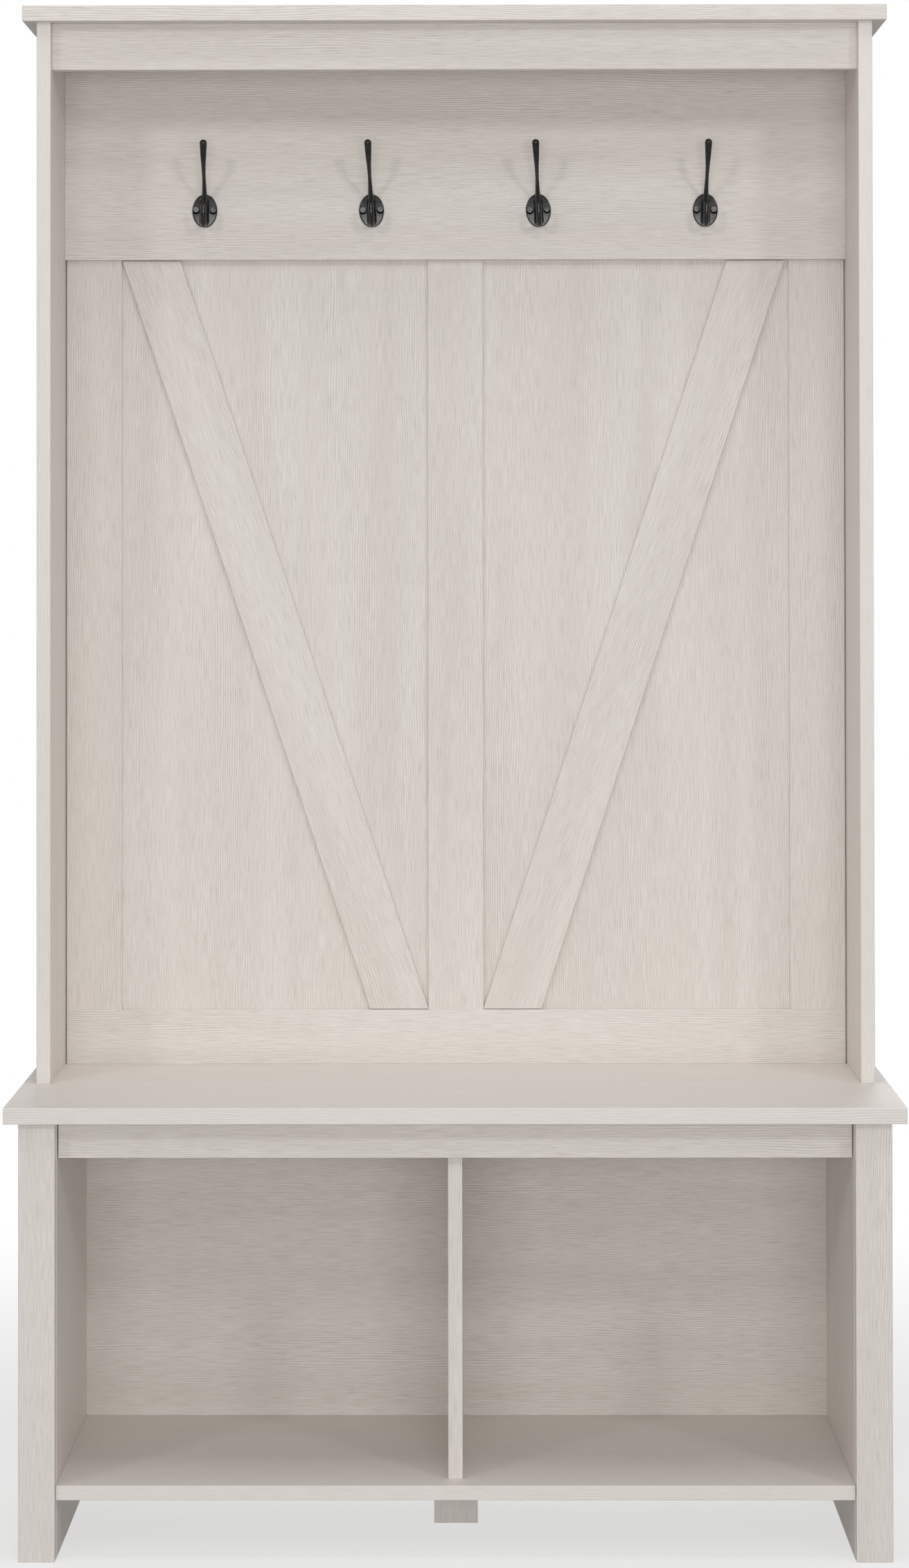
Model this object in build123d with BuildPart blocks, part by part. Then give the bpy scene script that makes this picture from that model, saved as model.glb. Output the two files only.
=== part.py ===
from build123d import *
from math import sqrt
import os

# Hall tree: a bench with two open cubbies, and a hutch above its rear half that carries four coat hooks.
# X runs to the right, Y from the front to the wall, Z up. The origin is on the floor, in the middle of
# the bench's footprint. Millimetres throughout.

# ---- Overall sizes ----
bench_width = 1000
bench_depth = 400
bench_height = 503
overall_height = 1750
hutch_depth = 200

# ---- Board stock ----
board = 16            # sides, shelf, divider, legs, rails and hook board
top_board = 18        # bench top and hutch top
back_board = 12       # rear panels of the hutch
trim_board = 6        # stiles, braces and bottom rail, fixed on the rear panels
hardboard = 3         # cabinet back
arris = 0.5           # broken edge of every laminated board

# ---- Bench ----
side_overhang = 16    # bench top and hutch top past the outer faces of the sides
leg_setback = 10      # front legs behind the front edge of the bench top
leg_width = 40.5
leg_reveal = 0.5      # inner edge of each leg outside the inner face of its side panel
shelf_clearance = 67  # floor to underside of shelf
shelf_setback = 7     # shelf edge behind the face of the legs
apron_height = 42
apron_setback = 24    # apron behind the face of the legs
apron_gap = 1         # at each end of the apron
foot_width = 50
rabbet_width = 4      # step in each side panel for the edge of the hardboard back
back_play = 0.5       # play of a rear panel in its rabbet

# ---- Hutch ----
hutch_top_overhang = 10
top_rail_height = 54
top_rail_setback = 16
hook_board_height = 265
bottom_rail_height = 65
stile_width = 66
trim_gap = 1.5        # outer stiles and bottom rail to the hutch sides
brace_width = 66
brace_end_gap = 0.8   # at the top and the foot of each brace
brace_side_gaps = {"left": 1.0, "right": 5.0}  # head of each brace to its outer stile
rear_inset = 4        # rear panels in front of the rear edges of the sides
hutch_rabbet = 8      # step in each hutch side that the rear panels lie in
panel_joint = 0.5     # between the two rear panels, behind the centre stile

# ---- Hooks ----
hook_count = 4
hook_spacing = 200
hook_height = 60      # middle of the hook plate above the lower edge of the hook board
hook_tilts = (1.0, -2.5, -3.0, 1.0)  # degrees that each hook leans to the right, as it was screwed on
plate_width = 30
plate_height = 40
plate_thickness = 3
plate_round = 1.2
ridge_width = 9
ridge_margin = 2.5    # plate above and below the ridge
ridge_rise = 3.5
ridge_round = 1.6
# Stations along the middle of each prong: distance up from the plate's centre, distance out, radius
coat_prong = (
    (1, 5, 4.1),
    (12, 8, 3.6),
    (24, 15.5, 2.7),
    (37, 26, 2.2),
    (50, 37, 2.6),
    (63, 45, 3.6),
    (77, 49, 4.4),
)
bag_prong = (
    (-4, 5, 3.9),
    (-12, 7.5, 3.8),
    (-17, 13, 3.6),
    (-17.5, 20, 3.4),
    (-13, 25.5, 3.3),
    (-5, 28.5, 3.3),
    (4, 29, 3.5),
)

# ---- Fasteners ----
cam_disc_radius = 7.5
cam_disc_depth = 12
cam_reach = 24        # middle of the cam disc from the end of its board
cam_thread_radius = 3
cam_thread_length = 11
cam_neck_radius = 1.5
cam_head_radius = 3.5
cam_head_length = 2.5
cam_clearance = 1     # round the bolt inside the disc
cam_slot_width = 1.6
cam_slot_depth = 1.5
cam_inset = 60        # cams from the ends of a joint
dowel_radius = 4
dowel_shallow = 10
dowel_deep = 20
dowel_chamfer = 1
confirmat_length = 50
confirmat_head_radius = 5
confirmat_head = 3
confirmat_shank_radius = 3.5
confirmat_thread_radius = 2.5
hex_socket_radius = 2.3
hex_socket_depth = 2.4
screw_radius = 1.75
screw_head_radius = 3.5
screw_head = 1.6
cross_width = 1       # cross recess of every small screw
cross_depth = 0.8
cross_arms = 3        # length of a recess's arms over their width
panel_screw_cover = 3       # hook board left in front of the points of the rear panels' screws
trim_screw_cover = 2        # trim left in front of the points of its screws
hook_screw_cover = 1.8      # hook board left behind the points of the hooks' screws
bracket_screw_length = 12
hook_head_radius = 3.8
hook_head = 2.2
hook_head_sink = 1.2
hook_head_edge = 0.7
hook_screw_rim = 0.9  # plate left outside each screw head
nail_radius = 0.8
nail_length = 20
nail_head_radius = 2.2
nail_head = 0.8
bracket_leg = 30
bracket_width = 20
bracket_thickness = 2
bracket_hole_offset = 18    # screw holes from the bend
wall_hole_radius = 3
wall_hole_inset = 68  # wall-anchor holes from the inner faces of the hutch sides
wall_hole_drop = 25   # and below the hutch top
brace_screw_inset = 90      # first and last screw from a brace's ends, in height
hook_board_screw_drop = 90  # upper screws of the hook board below the hutch top
rear_leg_screw_count = 3
shelf_nail_count = 4        # on each side of the divider
divider_nail_count = 5
edge_screw_count = 5        # below the hook board, in each hutch side
stile_screw_count = 4
brace_screw_count = 4
board_screw_columns = 3     # in each half of the hook board
rail_screw_count = 3        # in each half of the bottom rail
fit = 0.15            # radial play round every dowel, cam and screw
end_play = 0.5        # free depth beyond the tip of a dowel or bolt
cut_past = 1          # how far a rabbet's cut runs past the board's faces

# ---- Places worked out from the sizes ----
rear_y = bench_depth / 2
front_y = -bench_depth / 2
outer_x = bench_width / 2 - side_overhang
leg_inner_x = outer_x - leg_width
panel_x = leg_inner_x - leg_reveal              # inner face of each cabinet side panel
panel_mid_x = panel_x + board / 2
leg_front_y = front_y + leg_setback
side_front_y = leg_front_y + board
side_rear_y = rear_y - board
cabinet_back_y = side_rear_y - hardboard
shelf_front_y = leg_front_y + shelf_setback
apron_front_y = leg_front_y + apron_setback
divider_front_y = apron_front_y + board
bench_under_z = bench_height - top_board
shelf_top_z = shelf_clearance + board
shelf_mid_z = shelf_clearance + board / 2
apron_under_z = bench_under_z - apron_height
hutch_front_y = rear_y - hutch_depth
hutch_inner_x = outer_x - board
hutch_side_x = outer_x - board / 2
hutch_under_z = overall_height - top_board
panel_rear_y = rear_y - rear_inset
panel_front_y = panel_rear_y - back_board
trim_front_y = panel_front_y - trim_board
hook_board_y = panel_front_y - board
hook_board_z = hutch_under_z - hook_board_height
bottom_rail_z = bench_height + bottom_rail_height
top_rail_y = hutch_front_y + top_rail_setback
top_rail_z = hutch_under_z - top_rail_height
foot_y = (shelf_front_y + cabinet_back_y) / 2
panel_screw_length = back_board + board - panel_screw_cover
trim_screw_length = back_board + trim_board - trim_screw_cover
hook_recess_floor = plate_thickness - hook_head_sink  # height of a screw head's seat in the plate
hook_screw_length = board + hook_recess_floor - hook_screw_cover
hook_screw_pitch = plate_width - 2 * (hook_head_radius + hook_screw_rim)
ridge_length = plate_height - 2 * ridge_margin

UP = (0, 0, 1)
DOWN = (0, 0, -1)
RIGHT = (1, 0, 0)
FRONT = (0, -1, 0)
BACK = (0, 1, 0)
SIDES = {"left": -1, "right": 1}
BASE = (Align.CENTER, Align.CENTER, Align.MIN)


def spread(first, last, count):
    """Evenly spaced places from first to last."""
    step = (last - first) / (count - 1)
    return [first + step * index for index in range(count)]


def flipped(planes):
    """The same places, facing the other way."""
    return [Plane(origin=p.origin, x_dir=p.x_dir, z_dir=-p.z_dir) for p in planes]


def middle(span):
    """Middle of a (low, high) range."""
    return (span[0] + span[1]) / 2


def length(span):
    """Length of a (low, high) range."""
    return span[1] - span[0]


def shifted(planes, distance):
    """The same planes, moved along their normals."""
    return [p.offset(distance) for p in planes]


def finish(piece, label):
    """Name a finished piece and write it."""
    piece.part.label = label
    export_step(piece.part, f"parts/{label}.step")


def make_board(label, x, y, z, bores=(), steps=()):
    """A laminated board between the given ranges, with broken edges, round bores and rabbets."""
    with BuildPart() as piece:
        with BuildSketch(Plane.XY.offset(z[0])):
            with Locations((middle(x), middle(y))):
                Rectangle(length(x), length(y))
        extrude(amount=length(z))
        chamfer(piece.edges(), length=arris)
        for step in steps:
            with Locations(tuple(middle(span) for span in step)):
                Box(*[length(span) for span in step], mode=Mode.SUBTRACT)
        for planes, radius, depth in bores:
            with Locations(*planes):
                Cylinder(radius, depth, align=BASE, mode=Mode.SUBTRACT)
    finish(piece, label)


# ---- Joints: each is a plane on the meeting face, its normal pointing into the board that holds more ----
def dowel_deep_bores(planes):
    return [(planes, dowel_radius + fit, dowel_deep)]


def dowel_shallow_bores(planes):
    return [(flipped(planes), dowel_radius + fit, dowel_shallow + end_play)]


def cam_disc_seats(planes):
    """Planes on the open face of each cam disc's bore; a cam plane's x_dir points at that face."""
    return [
        Plane(origin=p.origin + p.z_dir * cam_reach + p.x_dir * (board / 2), x_dir=p.z_dir, z_dir=-p.x_dir)
        for p in planes
    ]


def cam_disc_bores(planes):
    return [
        (planes, cam_head_radius + fit + end_play, cam_reach),
        (cam_disc_seats(planes), cam_disc_radius + fit, cam_disc_depth),
    ]


def cam_thread_bores(planes):
    return [(flipped(planes), cam_thread_radius + fit, cam_thread_length + end_play)]


def confirmat_head_bores(planes, thickness):
    """Bores in the board that the head sits in; each plane is on that head's face, pointing inwards."""
    return [
        (planes, confirmat_head_radius + fit, confirmat_head),
        (planes, confirmat_shank_radius + fit, thickness),
    ]


def confirmat_tail_bores(planes, thickness):
    tails = shifted(planes, thickness)
    return [(tails, confirmat_thread_radius + fit, confirmat_length - thickness + end_play)]


def screw_head_bores(planes, thickness):
    return [
        (planes, screw_head_radius + fit, screw_head),
        (planes, screw_radius + fit, thickness),
    ]


def screw_tail_bores(planes, length, thickness):
    return [(shifted(planes, thickness), screw_radius + fit, length - thickness + end_play)]


def nail_bores(planes):
    return [(shifted(planes, hardboard), nail_radius + fit, nail_length - nail_head - hardboard + end_play)]


# Bench joints
shelf_cam_ys = (shelf_front_y + cam_inset, cabinet_back_y - cam_inset)
top_cam_ys = (side_front_y + cam_inset, side_rear_y - cam_inset)
divider_cam_ys = (divider_front_y + cam_inset, cabinet_back_y - cam_inset)
leg_cam_zs = (shelf_top_z + cam_inset, apron_under_z - cam_inset)
leg_dowel_zs = (shelf_clearance / 2, bench_under_z / 2)
middle_y = (side_front_y + side_rear_y) / 2
divider_dowel_ys = spread(*divider_cam_ys, 4)[1:-1]  # at the thirds between the cams
shelf_cams = {}
shelf_dowels = {}
panel_top_cams = {}
panel_top_dowels = {}
leg_cams = {}
leg_dowels = {}
rear_leg_screws = {}
for name, side in SIDES.items():
    inward = (-side, 0, 0)
    shelf_cams[name] = [
        Plane(origin=(side * panel_x, y, shelf_mid_z), x_dir=DOWN, z_dir=inward) for y in shelf_cam_ys
    ]
    shelf_dowels[name] = [Plane(origin=(side * panel_x, middle_y, shelf_mid_z), x_dir=DOWN, z_dir=inward)]
    panel_top_cams[name] = [
        Plane(origin=(side * panel_mid_x, y, bench_under_z), x_dir=inward, z_dir=DOWN) for y in top_cam_ys
    ]
    panel_top_dowels[name] = [
        Plane(origin=(side * panel_mid_x, middle_y, bench_under_z), x_dir=RIGHT, z_dir=DOWN),
    ]
    leg_cams[name] = [
        Plane(origin=(side * panel_mid_x, side_front_y, z), x_dir=(side, 0, 0), z_dir=BACK)
        for z in leg_cam_zs
    ]
    leg_dowels[name] = [
        Plane(origin=(side * panel_mid_x, side_front_y, z), x_dir=RIGHT, z_dir=BACK) for z in leg_dowel_zs
    ]
    rear_leg_screws[name] = [
        Plane(origin=(side * panel_mid_x, rear_y, z), x_dir=RIGHT, z_dir=FRONT)
        for z in spread(shelf_mid_z, bench_under_z - cam_inset, rear_leg_screw_count)
    ]
divider_cams = [Plane(origin=(0, y, bench_under_z), x_dir=RIGHT, z_dir=DOWN) for y in divider_cam_ys]
divider_dowels = [Plane(origin=(0, y, shelf_top_z), x_dir=RIGHT, z_dir=UP) for y in divider_dowel_ys]
divider_screws = [Plane(origin=(0, y, shelf_clearance), x_dir=RIGHT, z_dir=UP) for y in divider_cam_ys]
foot_dowels = [
    Plane(origin=(x, foot_y, shelf_clearance), x_dir=RIGHT, z_dir=DOWN)
    for x in (-foot_width / 4, foot_width / 4)
]
apron_mid_y = apron_front_y + board / 2
apron_half = panel_x - apron_gap
apron_dowels = [
    Plane(origin=(x, apron_mid_y, bench_under_z), x_dir=RIGHT, z_dir=DOWN)
    for x in (cam_inset - apron_half, 0, apron_half - cam_inset)
]

bracket_xs = (-apron_half / 2, apron_half / 2)
bracket_face_y = divider_front_y + bracket_thickness
bracket_face_z = bench_under_z - bracket_thickness
bracket_apron_screws = [
    Plane(origin=(x, bracket_face_y, bench_under_z - bracket_hole_offset), x_dir=RIGHT, z_dir=FRONT)
    for x in bracket_xs
]
bracket_top_screws = [
    Plane(origin=(x, divider_front_y + bracket_hole_offset, bracket_face_z), x_dir=RIGHT, z_dir=UP)
    for x in bracket_xs
]
bracket_screw_depth = bracket_screw_length - bracket_thickness + end_play
bracket_apron_bores = [
    (shifted(bracket_apron_screws, bracket_thickness), screw_radius + fit, bracket_screw_depth),
]
bracket_top_bores = [
    (shifted(bracket_top_screws, bracket_thickness), screw_radius + fit, bracket_screw_depth),
]

# Nails through the cabinet back: a row into the shelf and a column into the divider
shelf_nails = [
    Plane(origin=(side * x, side_rear_y, shelf_mid_z), x_dir=RIGHT, z_dir=FRONT)
    for side in SIDES.values()
    for x in spread(cam_inset, panel_x - cam_inset, shelf_nail_count)
]
divider_nails = [
    Plane(origin=(0, side_rear_y, z), x_dir=RIGHT, z_dir=FRONT)
    for z in spread(shelf_top_z + cam_inset, bench_under_z - cam_inset, divider_nail_count)
]

# Hutch joints
hutch_dowel_y = hutch_front_y + hutch_depth / 2
hutch_cam_ys = (hutch_front_y + cam_inset, panel_front_y - cam_inset)
rail_mid_y = top_rail_y + board / 2
hook_board_mid_y = hook_board_y + board / 2
rail_dowel_z = top_rail_z + top_rail_height / 4
rail_cam_z = hutch_under_z - top_rail_height / 3
hook_board_cam_zs = (hook_board_z + cam_inset, hutch_under_z - cam_inset)
edge_screw_zs = spread(bench_height + cam_inset, hook_board_z - cam_inset / 2, edge_screw_count)
edge_screw_zs.append(hutch_under_z - cam_inset / 2)
hutch_top_cams = {}
hutch_top_dowels = {}
hutch_foot_dowels = {}
hutch_foot_screws = {}
rail_cams = {}
rail_dowels = {}
hook_board_cams = {}
hook_board_dowels = {}
edge_screws = {}
for name, side in SIDES.items():
    inward = (-side, 0, 0)
    hutch_top_cams[name] = [
        Plane(origin=(side * hutch_side_x, y, hutch_under_z), x_dir=inward, z_dir=DOWN)
        for y in hutch_cam_ys
    ]
    hutch_top_dowels[name] = [
        Plane(origin=(side * hutch_side_x, hutch_dowel_y, hutch_under_z), x_dir=RIGHT, z_dir=DOWN)
    ]
    hutch_foot_dowels[name] = [
        Plane(origin=(side * hutch_side_x, hutch_dowel_y, bench_height), x_dir=RIGHT, z_dir=UP)
    ]
    hutch_foot_screws[name] = [
        Plane(origin=(side * hutch_side_x, y, bench_under_z), x_dir=RIGHT, z_dir=UP) for y in hutch_cam_ys
    ]
    rail_cams[name] = [
        Plane(origin=(side * hutch_inner_x, rail_mid_y, rail_cam_z), x_dir=BACK, z_dir=inward),
    ]
    rail_dowels[name] = [
        Plane(origin=(side * hutch_inner_x, rail_mid_y, rail_dowel_z), x_dir=BACK, z_dir=inward),
    ]
    hook_board_cams[name] = [
        Plane(origin=(side * hutch_inner_x, hook_board_mid_y, z), x_dir=BACK, z_dir=inward)
        for z in hook_board_cam_zs
    ]
    hook_board_dowels[name] = [
        Plane(
            origin=(side * hutch_inner_x, hook_board_mid_y, hook_board_z + hook_board_height / 2),
            x_dir=BACK,
            z_dir=inward,
        )
    ]
    edge_screws[name] = [
        Plane(origin=(side * (hutch_inner_x + hutch_rabbet / 2), panel_rear_y, z), x_dir=RIGHT, z_dir=FRONT)
        for z in edge_screw_zs
    ]

# Rear panel screws into the hook board, and into the trim
wall_hole_x = hutch_inner_x - wall_hole_inset
wall_hole_z = hutch_under_z - wall_hole_drop
wall_holes = {
    name: [Plane(origin=(side * wall_hole_x, panel_rear_y, wall_hole_z), x_dir=RIGHT, z_dir=FRONT)]
    for name, side in SIDES.items()
}
stile_z = (bottom_rail_z, hook_board_z)
outer_stile_x = hutch_inner_x - trim_gap - stile_width
stile_screw_zs = spread(bottom_rail_z + cam_inset, hook_board_z - cam_inset, stile_screw_count)
hook_board_screws = {}
centre_stile_screws = {}
outer_stile_screws = {}
bottom_rail_screws = {}
for name, side in SIDES.items():
    hook_board_screws[name] = [
        Plane(origin=(side * x, panel_rear_y, z), x_dir=RIGHT, z_dir=FRONT)
        for x in spread(stile_width / 2, outer_stile_x + stile_width / 2, board_screw_columns)
        for z in (hook_board_z + cam_inset / 2, hutch_under_z - hook_board_screw_drop)
    ]
    centre_stile_screws[name] = [
        Plane(origin=(side * stile_width / 4, panel_rear_y, z), x_dir=RIGHT, z_dir=FRONT)
        for z in stile_screw_zs
    ]
    outer_stile_screws[name] = [
        Plane(origin=(side * (outer_stile_x + stile_width / 2), panel_rear_y, z), x_dir=RIGHT, z_dir=FRONT)
        for z in stile_screw_zs
    ]
    bottom_rail_screws[name] = [
        Plane(
            origin=(side * x, panel_rear_y, bench_height + bottom_rail_height / 2),
            x_dir=RIGHT,
            z_dir=FRONT,
        )
        for x in spread(stile_width, outer_stile_x + stile_width / 2, rail_screw_count)
    ]


def brace_corners(side_name):
    """Corners of a brace, from the head of its outer stile to the foot of the centre stile."""
    side = SIDES[side_name]
    head_x = outer_stile_x - brace_side_gaps[side_name]
    foot_x = stile_width / 2
    bay = head_x - foot_x
    head_z = hook_board_z - brace_end_gap
    foot_z = bottom_rail_z + brace_end_gap
    rise = head_z - foot_z
    reach = sqrt(rise**2 + bay**2 - brace_width**2)
    slope = (bay * rise - brace_width * reach) / (rise**2 - brace_width**2)
    cut = brace_width * sqrt(1 + slope**2)
    return [
        (side * head_x, head_z),
        (side * (head_x - cut), head_z),
        (side * foot_x, foot_z),
        (side * (foot_x + cut), foot_z),
    ]


def brace_screw_planes(side_name):
    """Screws along the middle of a brace."""
    corners = brace_corners(side_name)
    head_x = (corners[0][0] + corners[1][0]) / 2
    foot_x = (corners[2][0] + corners[3][0]) / 2
    head_z = corners[0][1]
    foot_z = corners[2][1]
    run = (head_x - foot_x) / (head_z - foot_z)
    return [
        Plane(origin=(foot_x + run * (z - foot_z), panel_rear_y, z), x_dir=RIGHT, z_dir=FRONT)
        for z in spread(foot_z + brace_screw_inset, head_z - brace_screw_inset, brace_screw_count)
    ]


brace_screws = {name: brace_screw_planes(name) for name in SIDES}

# Hook seats: planes on the face of the hook board, x to the right, y up the hook, normal to the front
hook_xs = spread(-hook_spacing * (hook_count - 1) / 2, hook_spacing * (hook_count - 1) / 2, hook_count)
upright_seats = [
    Plane(origin=(x, hook_board_y, hook_board_z + hook_height), x_dir=RIGHT, z_dir=FRONT) for x in hook_xs
]
hook_seats = [
    Plane(Location(upright) * Location((0, 0, 0), (0, 0, -tilt)))
    for upright, tilt in zip(upright_seats, hook_tilts)
]


def hook_screw_planes(seat):
    """Planes on the floor of each screw's recess in the hook plate, pointing into the board."""
    return [
        Plane(
            origin=seat.from_local_coords((x, 0, hook_recess_floor)),
            x_dir=seat.x_dir,
            z_dir=-seat.z_dir,
        )
        for x in (-hook_screw_pitch / 2, hook_screw_pitch / 2)
    ]


hook_screws = [plane for seat in hook_seats for plane in hook_screw_planes(seat)]
hook_screw_depth = hook_screw_length - hook_recess_floor + end_play
hook_screw_bores = [(shifted(hook_screws, hook_recess_floor), screw_radius + fit, hook_screw_depth)]

os.makedirs("parts", exist_ok=True)

# ---- Bench boards ----
make_board(
    "bench_top",
    (-bench_width / 2, bench_width / 2),
    (front_y, rear_y),
    (bench_under_z, bench_height),
    bores=cam_thread_bores(panel_top_cams["left"] + panel_top_cams["right"] + divider_cams)
    + dowel_shallow_bores(panel_top_dowels["left"] + panel_top_dowels["right"] + apron_dowels)
    + dowel_shallow_bores(hutch_foot_dowels["left"] + hutch_foot_dowels["right"])
    + confirmat_head_bores(hutch_foot_screws["left"] + hutch_foot_screws["right"], top_board)
    + bracket_top_bores,
)
for name, side in SIDES.items():
    x_range = sorted((side * panel_x, side * (panel_x + board)))
    leg_range = sorted((side * leg_inner_x, side * outer_x))
    rabbet = (
        sorted((side * (panel_x - cut_past), side * (panel_x + rabbet_width))),
        (cabinet_back_y, side_rear_y + cut_past),
        (-cut_past, bench_under_z + cut_past),
    )
    make_board(
        f"{name}_side_panel",
        x_range,
        (side_front_y, side_rear_y),
        (0, bench_under_z),
        bores=cam_disc_bores(panel_top_cams[name] + leg_cams[name])
        + cam_thread_bores(shelf_cams[name])
        + dowel_deep_bores(panel_top_dowels[name] + leg_dowels[name])
        + dowel_shallow_bores(shelf_dowels[name])
        + confirmat_tail_bores(rear_leg_screws[name], board),
        steps=[rabbet],
    )
    make_board(
        f"{name}_front_leg",
        leg_range,
        (leg_front_y, side_front_y),
        (0, bench_under_z),
        bores=cam_thread_bores(leg_cams[name]) + dowel_shallow_bores(leg_dowels[name]),
    )
    make_board(
        f"{name}_rear_leg",
        leg_range,
        (side_rear_y, rear_y),
        (0, bench_under_z),
        bores=confirmat_head_bores(rear_leg_screws[name], board),
    )
make_board(
    "apron",
    (-apron_half, apron_half),
    (apron_front_y, divider_front_y),
    (apron_under_z, bench_under_z),
    bores=dowel_deep_bores(apron_dowels) + bracket_apron_bores,
)
make_board(
    "divider",
    (-board / 2, board / 2),
    (divider_front_y, cabinet_back_y),
    (shelf_top_z, bench_under_z),
    bores=cam_disc_bores(divider_cams)
    + dowel_deep_bores(divider_dowels)
    + confirmat_tail_bores(divider_screws, board)
    + nail_bores(divider_nails),
)
make_board(
    "bottom_shelf",
    (-panel_x, panel_x),
    (shelf_front_y, cabinet_back_y),
    (shelf_clearance, shelf_top_z),
    bores=cam_disc_bores(shelf_cams["left"] + shelf_cams["right"])
    + dowel_deep_bores(shelf_dowels["left"] + shelf_dowels["right"])
    + dowel_shallow_bores(divider_dowels + foot_dowels)
    + confirmat_head_bores(divider_screws, board)
    + nail_bores(shelf_nails),
)
make_board(
    "centre_foot",
    (-foot_width / 2, foot_width / 2),
    (foot_y - board / 2, foot_y + board / 2),
    (0, shelf_clearance),
    bores=dowel_deep_bores(foot_dowels),
)

# ---- Cabinet back and its nails ----
back_half = panel_x + rabbet_width - back_play
with BuildPart() as cabinet_back:
    with BuildSketch(Plane.XZ.offset(-side_rear_y)):
        with Locations((0, (shelf_clearance + bench_under_z) / 2)):
            Rectangle(2 * back_half, bench_under_z - shelf_clearance)
    extrude(amount=hardboard)
    with Locations(*shelf_nails, *divider_nails):
        Cylinder(nail_radius + fit, hardboard, align=BASE, mode=Mode.SUBTRACT)
finish(cabinet_back, "cabinet_back")

with BuildPart() as back_nails:
    with Locations(*shelf_nails, *divider_nails):
        Cylinder(nail_radius, nail_length - nail_head, align=BASE)
    with Locations(*flipped(shelf_nails + divider_nails)):
        Cylinder(nail_head_radius, nail_head, align=BASE)
finish(back_nails, "back_nails")

# ---- Hutch boards ----
make_board(
    "hutch_top",
    (-bench_width / 2, bench_width / 2),
    (hutch_front_y - hutch_top_overhang, rear_y),
    (hutch_under_z, overall_height),
    bores=cam_thread_bores(hutch_top_cams["left"] + hutch_top_cams["right"])
    + dowel_shallow_bores(hutch_top_dowels["left"] + hutch_top_dowels["right"]),
)
for name, side in SIDES.items():
    rabbet = (
        sorted((side * (hutch_inner_x - cut_past), side * (hutch_inner_x + hutch_rabbet))),
        (panel_front_y, rear_y + cut_past),
        (bench_height - cut_past, hutch_under_z + cut_past),
    )
    make_board(
        f"hutch_{name}_side",
        sorted((side * hutch_inner_x, side * outer_x)),
        (hutch_front_y, rear_y),
        (bench_height, hutch_under_z),
        bores=cam_disc_bores(hutch_top_cams[name])
        + cam_thread_bores(rail_cams[name] + hook_board_cams[name])
        + dowel_deep_bores(hutch_top_dowels[name] + hutch_foot_dowels[name])
        + dowel_shallow_bores(rail_dowels[name] + hook_board_dowels[name])
        + confirmat_tail_bores(hutch_foot_screws[name], top_board)
        + screw_tail_bores(edge_screws[name], panel_screw_length, back_board),
        steps=[rabbet],
    )
    panel_screws = edge_screws[name] + hook_board_screws[name]
    trim_screws = centre_stile_screws[name] + outer_stile_screws[name] + bottom_rail_screws[name]
    make_board(
        f"{name}_rear_panel",
        sorted((side * panel_joint / 2, side * (hutch_inner_x + hutch_rabbet - back_play))),
        (panel_front_y, panel_rear_y),
        (bench_height, hutch_under_z),
        bores=screw_head_bores(panel_screws + trim_screws + brace_screws[name], back_board)
        + [(wall_holes[name], wall_hole_radius, back_board)],
    )
make_board(
    "top_rail",
    (-hutch_inner_x, hutch_inner_x),
    (top_rail_y, top_rail_y + board),
    (top_rail_z, hutch_under_z),
    bores=cam_disc_bores(rail_cams["left"] + rail_cams["right"])
    + dowel_deep_bores(rail_dowels["left"] + rail_dowels["right"]),
)
make_board(
    "hook_board",
    (-hutch_inner_x, hutch_inner_x),
    (hook_board_y, panel_front_y),
    (hook_board_z, hutch_under_z),
    bores=cam_disc_bores(hook_board_cams["left"] + hook_board_cams["right"])
    + dowel_deep_bores(hook_board_dowels["left"] + hook_board_dowels["right"])
    + screw_tail_bores(hook_board_screws["left"], panel_screw_length, back_board)
    + screw_tail_bores(hook_board_screws["right"], panel_screw_length, back_board)
    + hook_screw_bores
    + [(shifted(wall_holes["left"] + wall_holes["right"], back_board), wall_hole_radius, board)],
)

# ---- Trim on the rear panels ----
make_board(
    "bottom_rail",
    (trim_gap - hutch_inner_x, hutch_inner_x - trim_gap),
    (trim_front_y, panel_front_y),
    (bench_height, bottom_rail_z),
    bores=screw_tail_bores(
        bottom_rail_screws["left"] + bottom_rail_screws["right"], trim_screw_length - end_play, back_board
    ),
)
make_board(
    "centre_stile",
    (-stile_width / 2, stile_width / 2),
    (trim_front_y, panel_front_y),
    stile_z,
    bores=screw_tail_bores(
        centre_stile_screws["left"] + centre_stile_screws["right"], trim_screw_length - end_play, back_board
    ),
)
for name, side in SIDES.items():
    make_board(
        f"{name}_stile",
        sorted((side * outer_stile_x, side * (outer_stile_x + stile_width))),
        (trim_front_y, panel_front_y),
        stile_z,
        bores=screw_tail_bores(outer_stile_screws[name], trim_screw_length - end_play, back_board),
    )
    with BuildPart() as brace:
        with BuildSketch(Plane.XZ.offset(-panel_front_y)):
            Polygon(*brace_corners(name), align=None)
        extrude(amount=trim_board)
        chamfer(brace.edges(), length=arris)
        with Locations(*shifted(brace_screws[name], back_board)):
            Cylinder(screw_radius + fit, trim_screw_length - back_board, align=BASE, mode=Mode.SUBTRACT)
    finish(brace, f"{name}_brace")


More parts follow.
